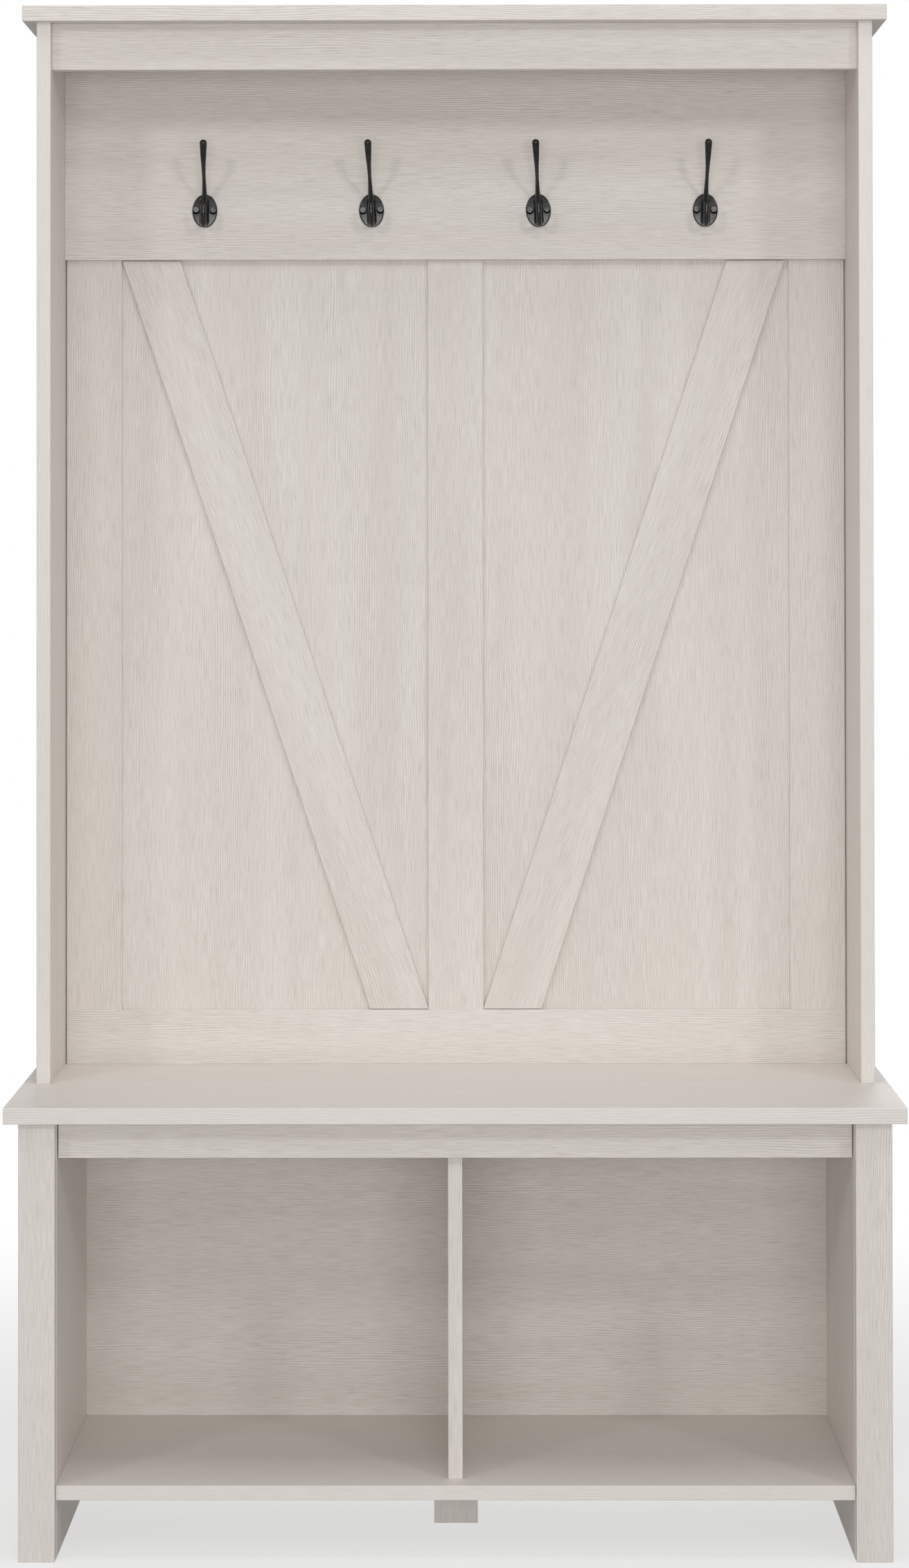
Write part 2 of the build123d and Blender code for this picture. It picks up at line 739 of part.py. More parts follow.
# ---- Coat hooks ----
# One cast hook, made lying on its back: x across the plate, y up it, z out from the wall
screw_spots = [
    Plane(origin=(x, 0, hook_recess_floor))
    for x in (-hook_screw_pitch / 2, hook_screw_pitch / 2)
]
with BuildPart() as casting:
    with BuildSketch():
        Ellipse(plate_width / 2, plate_height / 2)
    extrude(amount=plate_thickness)
    fillet(casting.faces().sort_by(Axis.Z)[-1].edges(), plate_round)
    with BuildSketch(Plane.XY.offset(plate_thickness / 2)):
        SlotOverall(ridge_length, ridge_width, rotation=90)
    extrude(amount=plate_thickness / 2 + ridge_rise)
    fillet(casting.faces().sort_by(Axis.Z)[-1].edges(), ridge_round)
    for prong in (coat_prong, bag_prong):
        line = Edge.make_spline([Vector(0, up, out) for up, out, _ in prong])
        for up, out, radius in prong:
            heading = line.tangent_at(line.param_at_point((0, up, out)))
            with BuildSketch(Plane(origin=(0, up, out), x_dir=RIGHT, z_dir=heading)):
                Circle(radius)
        loft()
        with Locations((0, prong[-1][0], prong[-1][1])):
            Sphere(prong[-1][2])
    with Locations(*screw_spots):
        Cylinder(hook_head_radius + 2 * fit, plate_thickness, align=BASE, mode=Mode.SUBTRACT)
    with Locations(*flipped(screw_spots)):
        Cylinder(screw_radius + fit, plate_thickness, align=BASE, mode=Mode.SUBTRACT)

for number, seat in enumerate(hook_seats, start=1):
    with BuildPart() as hook:
        with Locations(Location(seat)):
            add(casting.part)
    finish(hook, f"hook_{number}")


# ---- Fasteners: each node is a group of separate solids ----
def cross_recess(planes, width, depth):
    """Cross slots cut into the face of each head; each plane is on that face, pointing out."""
    for turn in (0, 90):
        with Locations(*[Location(p) * Location((0, 0, -depth), (0, 0, turn)) for p in planes]):
            Box(cross_arms * width, width, 2 * depth, align=BASE, mode=Mode.SUBTRACT)


def make_screws(label, planes, length):
    """Flat-head screws, heads in their bores; each plane is on a head's face, pointing inwards."""
    with BuildPart() as screws:
        with Locations(*planes):
            Cylinder(screw_head_radius, screw_head, align=BASE)
        with Locations(*planes):
            Cylinder(screw_radius, length, align=BASE)
        cross_recess(flipped(planes), cross_width, cross_depth)
    finish(screws, label)


make_screws(
    "rear_panel_screws",
    edge_screws["left"] + edge_screws["right"] + hook_board_screws["left"] + hook_board_screws["right"],
    panel_screw_length,
)
make_screws(
    "trim_screws",
    [
        plane
        for group in (centre_stile_screws, outer_stile_screws, bottom_rail_screws, brace_screws)
        for name in SIDES
        for plane in group[name]
    ],
    trim_screw_length,
)

with BuildPart() as hook_screw_set:
    for plane in flipped(hook_screws):
        with BuildSketch(plane):
            Circle(hook_head_radius)
        extrude(amount=hook_head)
    chamfer(hook_screw_set.faces().group_by(Axis.Y)[0].edges(), length=hook_head_edge)
    with Locations(*hook_screws):
        Cylinder(screw_radius, hook_screw_length, align=BASE)
    cross_recess(shifted(flipped(hook_screws), hook_head), cross_width, cross_depth)
finish(hook_screw_set, "hook_screws")

confirmats = [
    plane
    for group in (hutch_foot_screws, rear_leg_screws)
    for name in SIDES
    for plane in group[name]
] + divider_screws
with BuildPart() as confirmat_set:
    with Locations(*confirmats):
        Cylinder(confirmat_head_radius, confirmat_head, align=BASE)
    with Locations(*confirmats):
        Cylinder(confirmat_shank_radius, board, align=BASE)
    with Locations(*confirmats):
        Cylinder(confirmat_thread_radius, confirmat_length, align=BASE)
    for plane in confirmats:
        with BuildSketch(plane):
            RegularPolygon(radius=hex_socket_radius, side_count=6)
        extrude(amount=hex_socket_depth, mode=Mode.SUBTRACT)
finish(confirmat_set, "confirmat_screws")

dowel_planes = [
    plane
    for group in (
        shelf_dowels,
        panel_top_dowels,
        leg_dowels,
        hutch_top_dowels,
        hutch_foot_dowels,
        rail_dowels,
        hook_board_dowels,
    )
    for name in SIDES
    for plane in group[name]
] + divider_dowels + foot_dowels + apron_dowels
with BuildPart() as dowel_set:
    with Locations(*shifted(dowel_planes, -dowel_shallow)):
        Cylinder(dowel_radius, dowel_shallow + dowel_deep, align=BASE)
    chamfer(dowel_set.edges().filter_by(GeomType.CIRCLE), length=dowel_chamfer)
finish(dowel_set, "dowels")

cam_planes = [
    plane
    for group in (shelf_cams, panel_top_cams, leg_cams, hutch_top_cams, rail_cams, hook_board_cams)
    for name in SIDES
    for plane in group[name]
] + divider_cams
cam_slot = 2 * cam_head_radius + cam_clearance
with BuildPart() as cam_disc_set:
    with Locations(*cam_disc_seats(cam_planes)):
        Cylinder(cam_disc_radius, cam_disc_depth, align=BASE)
    with Locations(*cam_planes):
        Box(cam_slot, cam_slot, cam_reach + cam_slot / 2, align=BASE, mode=Mode.SUBTRACT)
    cross_recess(flipped(cam_disc_seats(cam_planes)), cam_slot_width, cam_slot_depth)
finish(cam_disc_set, "cam_locks")

with BuildPart() as cam_bolt_set:
    with Locations(*flipped(cam_planes)):
        Cylinder(cam_thread_radius, cam_thread_length, align=BASE)
    with Locations(*cam_planes):
        Cylinder(cam_thread_radius, cam_reach - cam_slot / 2 - cam_clearance, align=BASE)
    with Locations(*cam_planes):
        Cylinder(cam_neck_radius, cam_reach, align=BASE)
    with Locations(*shifted(cam_planes, cam_reach - cam_clearance)):
        Cylinder(cam_head_radius, cam_head_length, align=BASE)
finish(cam_bolt_set, "cam_bolts")

# ---- Steel angle brackets that tie the apron to the bench top ----
with BuildPart() as bracket_set:
    for x in bracket_xs:
        with BuildSketch(Plane.YZ.offset(x - bracket_width / 2)):
            with Locations((divider_front_y, bench_under_z)):
                Rectangle(bracket_leg, bracket_thickness, align=(Align.MIN, Align.MAX))
                Rectangle(bracket_thickness, bracket_leg, align=(Align.MIN, Align.MAX))
        extrude(amount=bracket_width)
    with Locations(*bracket_apron_screws, *bracket_top_screws):
        Cylinder(screw_radius + fit, bracket_thickness, align=BASE, mode=Mode.SUBTRACT)
finish(bracket_set, "apron_brackets")

with BuildPart() as bracket_screw_set:
    with Locations(*flipped(bracket_apron_screws), *flipped(bracket_top_screws)):
        Cylinder(screw_head_radius, screw_head, align=BASE)
    with Locations(*bracket_apron_screws, *bracket_top_screws):
        Cylinder(screw_radius, bracket_screw_length, align=BASE)
    bracket_heads = flipped(bracket_apron_screws + bracket_top_screws)
    cross_recess(shifted(bracket_heads, screw_head), cross_width, cross_depth)
finish(bracket_screw_set, "bracket_screws")
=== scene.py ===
"""Hall tree with hooks: its laminate boards, cast hooks and fittings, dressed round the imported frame."""

import logging
import math
from dataclasses import dataclass, field, replace
from enum import Enum
from typing import Any, ClassVar, Iterable, Sequence

import bmesh
import bpy
import numpy as np
from mathutils import Euler, Matrix, Vector


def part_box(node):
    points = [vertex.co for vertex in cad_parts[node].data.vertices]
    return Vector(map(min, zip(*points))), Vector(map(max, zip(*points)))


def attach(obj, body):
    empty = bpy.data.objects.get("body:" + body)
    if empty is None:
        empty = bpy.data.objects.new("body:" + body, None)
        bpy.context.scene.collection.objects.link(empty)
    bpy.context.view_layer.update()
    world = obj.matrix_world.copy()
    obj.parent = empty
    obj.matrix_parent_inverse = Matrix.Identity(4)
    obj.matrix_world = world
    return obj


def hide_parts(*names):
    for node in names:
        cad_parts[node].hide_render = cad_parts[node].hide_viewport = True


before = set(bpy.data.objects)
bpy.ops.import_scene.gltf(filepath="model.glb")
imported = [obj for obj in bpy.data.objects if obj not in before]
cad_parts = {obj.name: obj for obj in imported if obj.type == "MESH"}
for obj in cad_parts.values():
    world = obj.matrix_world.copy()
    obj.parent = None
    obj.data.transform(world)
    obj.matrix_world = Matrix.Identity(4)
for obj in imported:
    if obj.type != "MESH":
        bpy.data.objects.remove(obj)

LOG = logging.getLogger("hall_tree")
BODY = "root"
MM = 0.001
# Corners closer than these, in metres, lie at one level or are one corner.
SAME_LEVEL = 0.2 * MM
SAME_POINT = 0.000001
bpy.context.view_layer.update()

Colour = tuple[float, float, float]
Point = tuple[float, float, float]
Material = bpy.types.Material


# ---------------------------------------------------------------- node trees


class NodeTree:
    """A node tree written one node at a time."""

    def __init__(self, tree: bpy.types.NodeTree) -> None:
        """Wrap a tree.

        Args:
            tree: The tree that the nodes go into.
        """
        self.tree = tree

    def node(self, kind: str, inputs: dict[Any, Any] | None = None, **settings: Any) -> bpy.types.Node:
        """Add a node.

        Args:
            kind: The node's type.
            inputs: Input name or place, and the socket or value that it takes.
            settings: The node's own options.

        Returns:
            The new node.
        """
        made = self.tree.nodes.new(kind)
        for name, value in settings.items():
            setattr(made, name, value)
        for name, value in (inputs or {}).items():
            self.feed(made.inputs[name], value)
        return made

    def feed(self, socket: bpy.types.NodeSocket, value: Any) -> None:
        """Give a socket a link, several links or a value.

        Args:
            socket: The input.
            value: An output socket, a list of them, or a plain value.
        """
        if isinstance(value, bpy.types.NodeSocket):
            self.tree.links.new(value, socket)
        elif isinstance(value, list):
            for one in value:
                self.tree.links.new(one, socket)
        else:
            socket.default_value = value

    def math(self, operation: str, *values: Any, clamp: bool = False) -> bpy.types.NodeSocket:
        """Work out one number.

        Args:
            operation: The Math node's operation.
            values: Its inputs, sockets or numbers.
            clamp: Whether the result is kept between 0 and 1.

        Returns:
            The result.
        """
        inputs = dict(enumerate(values))
        return self.node("ShaderNodeMath", inputs, operation=operation, use_clamp=clamp).outputs[0]

    def combine(self, x: Any = 0.0, y: Any = 0.0, z: Any = 0.0) -> bpy.types.NodeSocket:
        """Join three numbers into a vector."""
        return self.node("ShaderNodeCombineXYZ", {0: x, 1: y, 2: z}).outputs[0]


class ShaderTree(NodeTree):
    """A material's node tree, with the few patterns that the finishes are made of."""

    def __init__(self, material: Material) -> None:
        """Take up a material.

        Args:
            material: The material, already with nodes.
        """
        super().__init__(material.node_tree)
        self.material = material
        self.object_place = self.node("ShaderNodeTexCoord").outputs["Object"]

    @classmethod
    def blank(cls, name: str) -> "ShaderTree":
        """Start a new material.

        Args:
            name: The material's name.

        Returns:
            Its empty tree.
        """
        material = bpy.data.materials.new(name)
        material.use_nodes = True
        material.node_tree.nodes.clear()
        return cls(material)

    def split(self, vector: bpy.types.NodeSocket) -> bpy.types.NodeOutputs:
        """Part a vector into its three numbers."""
        return self.node("ShaderNodeSeparateXYZ", {0: vector}).outputs

    def noise(
        self, place: bpy.types.NodeSocket, scale: float, detail: float = 2.0, distortion: float = 0.0
    ) -> bpy.types.NodeSocket:
        """Cloudy noise between 0 and 1.

        Args:
            place: Where it is read.
            scale: Spots to a metre.
            detail: Octaves.
            distortion: How far it is stirred.

        Returns:
            The noise.
        """
        inputs = {"Vector": place, "Scale": scale, "Detail": detail, "Distortion": distortion}
        return self.node("ShaderNodeTexNoise", inputs).outputs["Fac"]

    def ease(self, value: Any, low: float, high: float, bottom: float = 0.0, top: float = 1.0) -> Any:
        """Bring a number from one range to another, smoothly and held at both ends.

        Args:
            value: The number.
            low: Where the result is bottom.
            high: Where the result is top.
            bottom: First result.
            top: Last result.

        Returns:
            The result's socket.
        """
        inputs = {"Value": value, "From Min": low, "From Max": high, "To Min": bottom, "To Max": top}
        return self.node("ShaderNodeMapRange", inputs, interpolation_type="SMOOTHSTEP").outputs[0]

    def blend(self, share: Any, first: Any, second: Any) -> bpy.types.NodeSocket:
        """Mix two colours.

        Args:
            share: How much of the second.
            first: A colour or its socket.
            second: A colour or its socket.

        Returns:
            The mixed colour.
        """
        made = self.node("ShaderNodeMix", data_type="RGBA")
        pairs = (("Factor_Float", share), ("A_Color", first), ("B_Color", second))
        sockets = {socket.identifier: socket for socket in made.inputs}
        for identifier, value in pairs:
            self.feed(sockets[identifier], (*value, 1.0) if isinstance(value, tuple) else value)
        return next(out for out in made.outputs if out.identifier == "Result_Color")

    def weigh(self, *parts: tuple[Any, float]) -> bpy.types.NodeSocket:
        """Add numbers up, each times its own share.

        Args:
            parts: Each number with its share.

        Returns:
            The sum.
        """
        total = 0.0
        for value, share in parts:
            total = self.math("MULTIPLY_ADD", value, share, total)
        return total

    def bump(self, height: bpy.types.NodeSocket, depth: float, strength: float = 1.0) -> bpy.types.NodeSocket:
        """Turn a height between 0 and 1 into a bent normal.

        Args:
            height: The height.
            depth: What a height of 1 is, in metres.
            strength: Share of the effect.

        Returns:
            The normal.
        """
        inputs = {"Height": height, "Distance": depth, "Strength": strength}
        return self.node("ShaderNodeBump", inputs).outputs[0]

    def principled(self, **inputs: Any) -> bpy.types.NodeSocket:
        """Make one Principled shader.

        Args:
            inputs: The shader's inputs, with underscores for the spaces in their names.

        Returns:
            The shader.
        """
        named = {name.replace("_", " "): value for name, value in inputs.items()}
        for name, value in named.items():
            if isinstance(value, tuple):
                named[name] = (*value, 1.0)
        return self.node("ShaderNodeBsdfPrincipled", named).outputs[0]

    def surface(self, **inputs: Any) -> Material:
        """Finish the material with one Principled shader.

        Args:
            inputs: The shader's inputs, with underscores for the spaces in their names.

        Returns:
            The material.
        """
        return self.finish(self.principled(**inputs))

    def finish(self, shader: bpy.types.NodeSocket) -> Material:
        """Finish the material with a shader.

        Args:
            shader: The shader.

        Returns:
            The material.
        """
        self.node("ShaderNodeOutputMaterial", {"Surface": shader})
        return self.material


# ---------------------------------------------------------------- finishes


class Grain(Enum):
    """Which way the printed grain of a board runs."""

    UPRIGHT = (0.0, 0.0, 1.0)
    CROSSWISE = (1.0, 0.0, 0.0)


def grain_turn(run: Sequence[float]) -> Euler:
    """The turn that lays a grain direction along X.

    Args:
        run: The direction, in the XZ plane.

    Returns:
        The turn, as a Mapping node takes it.
    """
    return Euler((0.0, math.atan2(run[2], run[0]), 0.0))


@dataclass(frozen=True)
class Ramp:
    """A smooth change, held at both ends: from bottom where the number is low, to top where it is high."""

    low: float
    high: float
    bottom: float = 0.0
    top: float = 1.0

    def read(self, tree: ShaderTree, value: Any) -> bpy.types.NodeSocket:
        """Read the change at one number."""
        return tree.ease(value, self.low, self.high, self.bottom, self.top)


@dataclass(frozen=True)
class Clouds:
    """Cloudy noise: spots to a metre, octaves, and how far it is stirred."""

    scale: float
    detail: float = 2.0
    distortion: float = 0.0

    def read(self, tree: ShaderTree, place: Any = None) -> bpy.types.NodeSocket:
        """Read the noise at a place, or on the piece itself."""
        return tree.noise(place or tree.object_place, self.scale, self.detail, self.distortion)


@dataclass(frozen=True)
class Streaks:
    """Noise drawn out along the grain: its changes to a metre along and across, and its layer."""

    along: float
    across: float
    layer: float

    def read(self, tree: ShaderTree, along: Any, across: Any) -> bpy.types.NodeSocket:
        """Read the noise.

        Args:
            tree: The material.
            along: Place along the grain, in metres.
            across: Place across the grain, in metres.

        Returns:
            The noise, between 0 and 1.
        """
        drawn = tree.math("MULTIPLY", along, self.along)
        packed = tree.math("MULTIPLY", across, self.across)
        return tree.noise(tree.combine(drawn, packed, self.layer), 1.0)


@dataclass(frozen=True)
class Laminate:
    """Whitewashed laminate: printed and embossed wood grain on board, with a worn arris that also carries a
    painted highlight. Sizes in metres.
    """

    wash: Colour = (0.800, 0.752, 0.710)
    warm: Colour = (0.760, 0.706, 0.652)
    groove: Colour = (0.600, 0.548, 0.496)
    # Paler tone: used for light fibres, and as painted light on the quiet boards and a painted highlight on
    # the arrises.
    pale_and_highlight: Colour = (0.860, 0.820, 0.782)
    ring_pitch: float = 0.0024
    ring_wander: float = 0.024
    ring_ripple: float = 0.0016
    emboss: float = 0.00022
    faintest_emboss: float = 0.25
    curves: Streaks = Streaks(along=2.4, across=15.0, layer=0.0)
    ripple: Streaks = Streaks(along=24.0, across=22.0, layer=2.0)
    patches: Streaks = Streaks(along=1.9, across=17.0, layer=8.1)
    fibres: Streaks = Streaks(along=34.0, across=860.0, layer=0.0)
    pores: Streaks = Streaks(along=110.0, across=700.0, layer=3.7)
    tones: Streaks = Streaks(along=0.9, across=21.0, layer=5.3)
    tooth: Clouds = Clouds(scale=1500.0, detail=1.0)
    arris_clouds: Clouds = Clouds(scale=60.0, detail=3.0)
    ring_shown: Ramp = Ramp(low=0.38, high=0.60, bottom=0.35)
    pore_shown: Ramp = Ramp(low=0.60, high=0.72)
    tone_shown: Ramp = Ramp(low=0.38, high=0.66)
    fibre_dark: Ramp = Ramp(low=0.56, high=0.30, top=0.42)
    fibre_light: Ramp = Ramp(low=0.50, high=0.72, top=0.45)
    gloss: Ramp = Ramp(low=0.0, high=0.9, bottom=0.52, top=0.38)
    edge_turned: Ramp = Ramp(low=0.96, high=0.80)
    edge_wear_and_highlight: Ramp = Ramp(low=0.35, high=0.60, bottom=0.35, top=0.90)
    trough_depth: float = -0.50
    crest_height: float = 0.30
    fibre_height: float = 0.70
    pore_depth: float = -0.25
    tooth_height: float = 0.25
    trough_dark: float = 0.44
    pore_dark: float = 0.18
    crest_light: float = 0.40
    tone_share: float = 0.8
    # Share of paler colour on quiet boards: partly their plainer print, partly painted light from above.
    quiet_pale_and_painted_light: float = 0.55

    def material(self, name: str, run: Sequence[float], place: Point, figure: float = 1.0) -> Material:
        """Make the finish for one board.

        Args:
            name: The board's name.
            run: The direction that the grain takes.
            place: Where on the print the board was cut, so that no two boards match.
            figure: How strong the grain is, 1 on the faces that show it most.

        Returns:
            The material.
        """
        tree = ShaderTree.blank(f"laminate_{name}")
        turn = grain_turn(run)
        mapping = {"Vector": tree.object_place, "Rotation": turn, "Location": place}
        mapped = tree.node("ShaderNodeMapping", mapping).outputs[0]
        along, deep, wide = tree.split(mapped)
        across = tree.math("ADD", deep, wide)
        bent = tree.math("MULTIPLY_ADD", self.curves.read(tree, along, across), self.ring_wander, across)
        bent = tree.math("MULTIPLY_ADD", self.ripple.read(tree, along, across), self.ring_ripple, bent)

        crest, trough = self.rings(tree, along, bent)
        fibres = self.fibres.read(tree, along, bent)
        pores = self.pore_shown.read(tree, self.pores.read(tree, along, bent))
        tones = self.tone_shown.read(tree, self.tones.read(tree, along, bent))
        height = tree.weigh(
            (trough, self.trough_depth),
            (crest, self.crest_height),
            (fibres, self.fibre_height),
            (pores, self.pore_depth),
            (self.tooth.read(tree, mapped), self.tooth_height),
        )
        fibre_dark = self.fibre_dark.read(tree, fibres)
        dark = tree.weigh((trough, self.trough_dark), (pores, self.pore_dark), (fibre_dark, 1.0))
        light = tree.weigh((crest, self.crest_light), (self.fibre_light.read(tree, fibres), 1.0))

        colour = tree.blend(tree.math("MULTIPLY", tones, self.tone_share * figure), self.wash, self.warm)
        # Quiet boards made paler: partly their plainer print, partly painted light standing in for light from
        # above and sheen on the bench top and shelf.
        colour = tree.blend(self.quiet_pale_and_painted_light * (1.0 - figure), colour, self.pale_and_highlight)
        colour = tree.blend(tree.math("MULTIPLY", light, figure, clamp=True), colour, self.pale_and_highlight)
        colour = tree.blend(tree.math("MULTIPLY", dark, figure, clamp=True), colour, self.groove)
        # Lightened edges: partly wear, partly a painted highlight along every arris.
        colour = tree.blend(self.arris_wear_and_highlight(tree, turn), colour, self.pale_and_highlight)
        depth = self.emboss * (self.faintest_emboss + (1.0 - self.faintest_emboss) * figure)
        return tree.surface(
            Base_Color=colour,
            Roughness=self.gloss.read(tree, height),
            Specular_IOR_Level=0.5,
            Normal=tree.bump(height, depth),
        )

    def rings(self, tree: ShaderTree, along: Any, bent: Any) -> tuple[Any, Any]:
        """Lines of the growth rings, clear in some patches and faint in others.

        Args:
            tree: The material.
            along: Place along the grain, in metres.
            bent: Place across the bent grain, in metres.

        Returns:
            The crests and the troughs between them.
        """
        wave = tree.math("SINE", tree.math("MULTIPLY", bent, 2 * math.pi / self.ring_pitch))
        shown = self.ring_shown.read(tree, self.patches.read(tree, along, bent))
        lines = []
        for half in (0.5, -0.5):
            thin = tree.math("POWER", tree.math("MULTIPLY_ADD", wave, half, 0.5), 2.0)
            lines.append(tree.math("MULTIPLY", thin, shown))
        return lines[0], lines[1]

    def arris_wear_and_highlight(self, tree: ShaderTree, turn: Euler) -> bpy.types.NodeSocket:
        """Find the broken edges of a board, where the face turns to the edge band; they are lightened as wear
        and as a painted highlight.

        Args:
            tree: The material.
            turn: The turn that squares the board up.

        Returns:
            How much each spot is lightened, as wear and as painted highlight.
        """
        facing = tree.node("ShaderNodeNewGeometry").outputs["True Normal"]
        squared = tree.node("ShaderNodeMapping", {"Vector": facing, "Rotation": turn}, vector_type="NORMAL")
        widest = 0.0
        for side in tree.split(squared.outputs[0]):
            widest = tree.math("MAXIMUM", widest, tree.math("ABSOLUTE", side))
        edge_lift = self.edge_wear_and_highlight.read(tree, self.arris_clouds.read(tree))
        return tree.math("MULTIPLY", self.edge_turned.read(tree, widest), edge_lift)


@dataclass(frozen=True)
class Hardboard:
    """Brown hardboard, seen on the rear of the cabinet back, under the laminate's paper on its front."""

    brown: Colour = (0.255, 0.155, 0.085)
    pale: Colour = (0.365, 0.245, 0.150)
    fleck: Colour = (0.120, 0.070, 0.040)
    clouds: Clouds = Clouds(scale=45.0, detail=5.0)
    flecks: Clouds = Clouds(scale=700.0)
    cloud_shown: Ramp = Ramp(low=0.3, high=0.7)
    fleck_shown: Ramp = Ramp(low=0.62, high=0.74, top=0.7)
    seen_behind: Ramp = Ramp(low=0.5, high=0.9)

    def rear(self, tree: ShaderTree) -> bpy.types.NodeSocket:
        """Colour of the bare rear face: pressed fibres and dark flecks.

        Args:
            tree: The material.

        Returns:
            The colour.
        """
        clouds = self.cloud_shown.read(tree, self.clouds.read(tree))
        flecks = self.fleck_shown.read(tree, self.flecks.read(tree))
        return tree.blend(flecks, tree.blend(clouds, self.brown, self.pale), self.fleck)


@dataclass(frozen=True)
class BlackCasting:
    """Gloss black lacquer over a casting, a little orange-peeled, and thin in places."""

    black: Colour = (0.0045, 0.0045, 0.0052)
    thin: Colour = (0.0140, 0.0135, 0.0130)
    clouds: Clouds = Clouds(scale=180.0, detail=4.0)
    smears: Clouds = Clouds(scale=420.0, detail=3.0)
    peel: Clouds = Clouds(scale=1100.0)
    thin_shown: Ramp = Ramp(low=0.42, high=0.72)
    gloss: Ramp = Ramp(low=0.30, high=0.75, bottom=0.18, top=0.32)
    peel_depth: float = 0.00006
    peel_strength: float = 0.8
    coat: float = 0.2
    coat_gloss: float = 0.08

    def material(self) -> Material:
        """Make the finish.

        Returns:
            The material.
        """
        tree = ShaderTree.blank("black_casting")
        thin = self.thin_shown.read(tree, self.clouds.read(tree))
        return tree.surface(
            Base_Color=tree.blend(thin, self.black, self.thin),
            Roughness=self.gloss.read(tree, self.smears.read(tree)),
            Specular_IOR_Level=0.5,
            Coat_Weight=self.coat,
            Coat_Roughness=self.coat_gloss,
            Normal=tree.bump(self.peel.read(tree), self.peel_depth, self.peel_strength),
        )


@dataclass(frozen=True)
class Metal:
    """A bare or plated metal with fine marks, dull patches and small pits."""

    name: str
    bright: Colour
    dull: Colour
    shine: float
    marks: float
    pits: float
    haze: float = 0.18
    mark_scale: Point = (2600.0, 2600.0, 300.0)
    patches: Clouds = Clouds(scale=160.0, detail=4.0)
    pitting: Clouds = Clouds(scale=1600.0, detail=1.0)
    dull_shown: Ramp = Ramp(low=0.35, high=0.7)
    haze_shown: Ramp = Ramp(low=0.3, high=0.75)
    pit_shown: Ramp = Ramp(low=0.62, high=0.76)
    relief: float = 0.00005

    def material(self) -> Material:
        """Make the finish.

        Returns:
            The material.
        """
        tree = ShaderTree.blank(self.name)
        patches = self.patches.read(tree)
        sides = zip(tree.split(tree.object_place), self.mark_scale)
        marks = tree.noise(tree.combine(*[tree.math("MULTIPLY", side, scale) for side, scale in sides]), 1.0)
        pits = self.pit_shown.read(tree, self.pitting.read(tree))
        rough = replace(self.haze_shown, bottom=self.shine, top=self.shine + self.haze)
        return tree.surface(
            Base_Color=tree.blend(self.dull_shown.read(tree, patches), self.bright, self.dull),
            Metallic=1.0,
            Roughness=rough.read(tree, patches),
            Normal=tree.bump(tree.weigh((marks, self.marks), (pits, -self.pits)), self.relief),
        )


@dataclass(frozen=True)
class Beech:
    """Turned beech, with short dark rays along the dowel."""

    pale: Colour = (0.520, 0.330, 0.180)
    dark: Colour = (0.370, 0.215, 0.105)
    ray: Colour = (0.220, 0.115, 0.055)
    bands: Clouds = Clouds(scale=320.0, detail=3.0, distortion=0.6)
    rays: Clouds = Clouds(scale=900.0)
    band_shown: Ramp = Ramp(low=0.35, high=0.65)
    ray_shown: Ramp = Ramp(low=0.60, high=0.70, top=0.6)
    gloss: Ramp = Ramp(low=0.3, high=0.7, bottom=0.55, top=0.70)
    relief: float = 0.0001

    def material(self) -> Material:
        """Make the finish.

        Returns:
            The material.
        """
        tree = ShaderTree.blank("beech")
        bands = self.bands.read(tree)
        rays = self.ray_shown.read(tree, self.rays.read(tree))
        colour = tree.blend(self.band_shown.read(tree, bands), self.pale, self.dark)
        return tree.surface(
            Base_Color=tree.blend(rays, colour, self.ray),
            Roughness=self.gloss.read(tree, bands),
            Normal=tree.bump(bands, self.relief),
        )


BLACK_STEEL = Metal(
    "black_steel", bright=(0.120, 0.120, 0.126), dull=(0.070, 0.070, 0.075), shine=0.32, marks=0.3, pits=0.2
)
ZINC_PLATE = Metal(
    "zinc_plated_steel", bright=(0.70, 0.71, 0.72), dull=(0.55, 0.54, 0.50), shine=0.26, marks=0.5, pits=0.2
)
ZINC_CASTING = Metal(
    "zinc_casting", bright=(0.50, 0.50, 0.50), dull=(0.36, 0.36, 0.37), shine=0.40, marks=0.3, pits=0.7
)


class Finishes:
    """The finishes that more than one piece shares. A metal is found by the name of its slot."""

    def __init__(self) -> None:
        """Make each shared material once."""
        self.laminate = Laminate()
        self.casting = BlackCasting().material()
        self.metals = {metal.name: metal.material() for metal in (BLACK_STEEL, ZINC_PLATE, ZINC_CASTING)}
        self.beech = Beech().material()


# ---------------------------------------------------------------- meshes


def dress(node: str, material: Material) -> None:
    """Give a CAD node a finish.

    Args:
        node: The node's name.
        material: The finish for all of it.
    """
    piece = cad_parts[node]
    if not piece.material_slots:
        piece.data.materials.append(material)
    for held in piece.material_slots:
        held.material = material
    LOG.info("dressed %s", node)


def plain_object(name: str, mesh: bpy.types.Mesh) -> bpy.types.Object:
    """Link a new object at the origin.

    Args:
        name: Its name.
        mesh: Its mesh, already in place.

    Returns:
        The object.
    """
    made = bpy.data.objects.new(name, mesh)
    bpy.context.scene.collection.objects.link(made)
    return made


def settle(source: bpy.types.Object, name: str) -> bpy.types.Object:
    """Turn an object with live modifiers into a plain mesh, and remove the object.

    Args:
        source: The object.
        name: Name of the plain object.

    Returns:
        The plain object.
    """
    bpy.context.view_layer.update()
    graph = bpy.context.evaluated_depsgraph_get()
    mesh = bpy.data.meshes.new_from_object(source.evaluated_get(graph), depsgraph=graph)
    bpy.data.objects.remove(source)
    mesh.name = name
    return plain_object(name, mesh)


def hand_over(piece: bpy.types.Object, nodes: Iterable[str]) -> None:
    """Put a finished piece in the frame.

    Args:
        piece: The piece.
        nodes: CAD nodes that it stands for.
    """
    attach(piece, BODY)
    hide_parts(*nodes)
    LOG.info("built %s: %d faces", piece.name, len(piece.data.polygons))


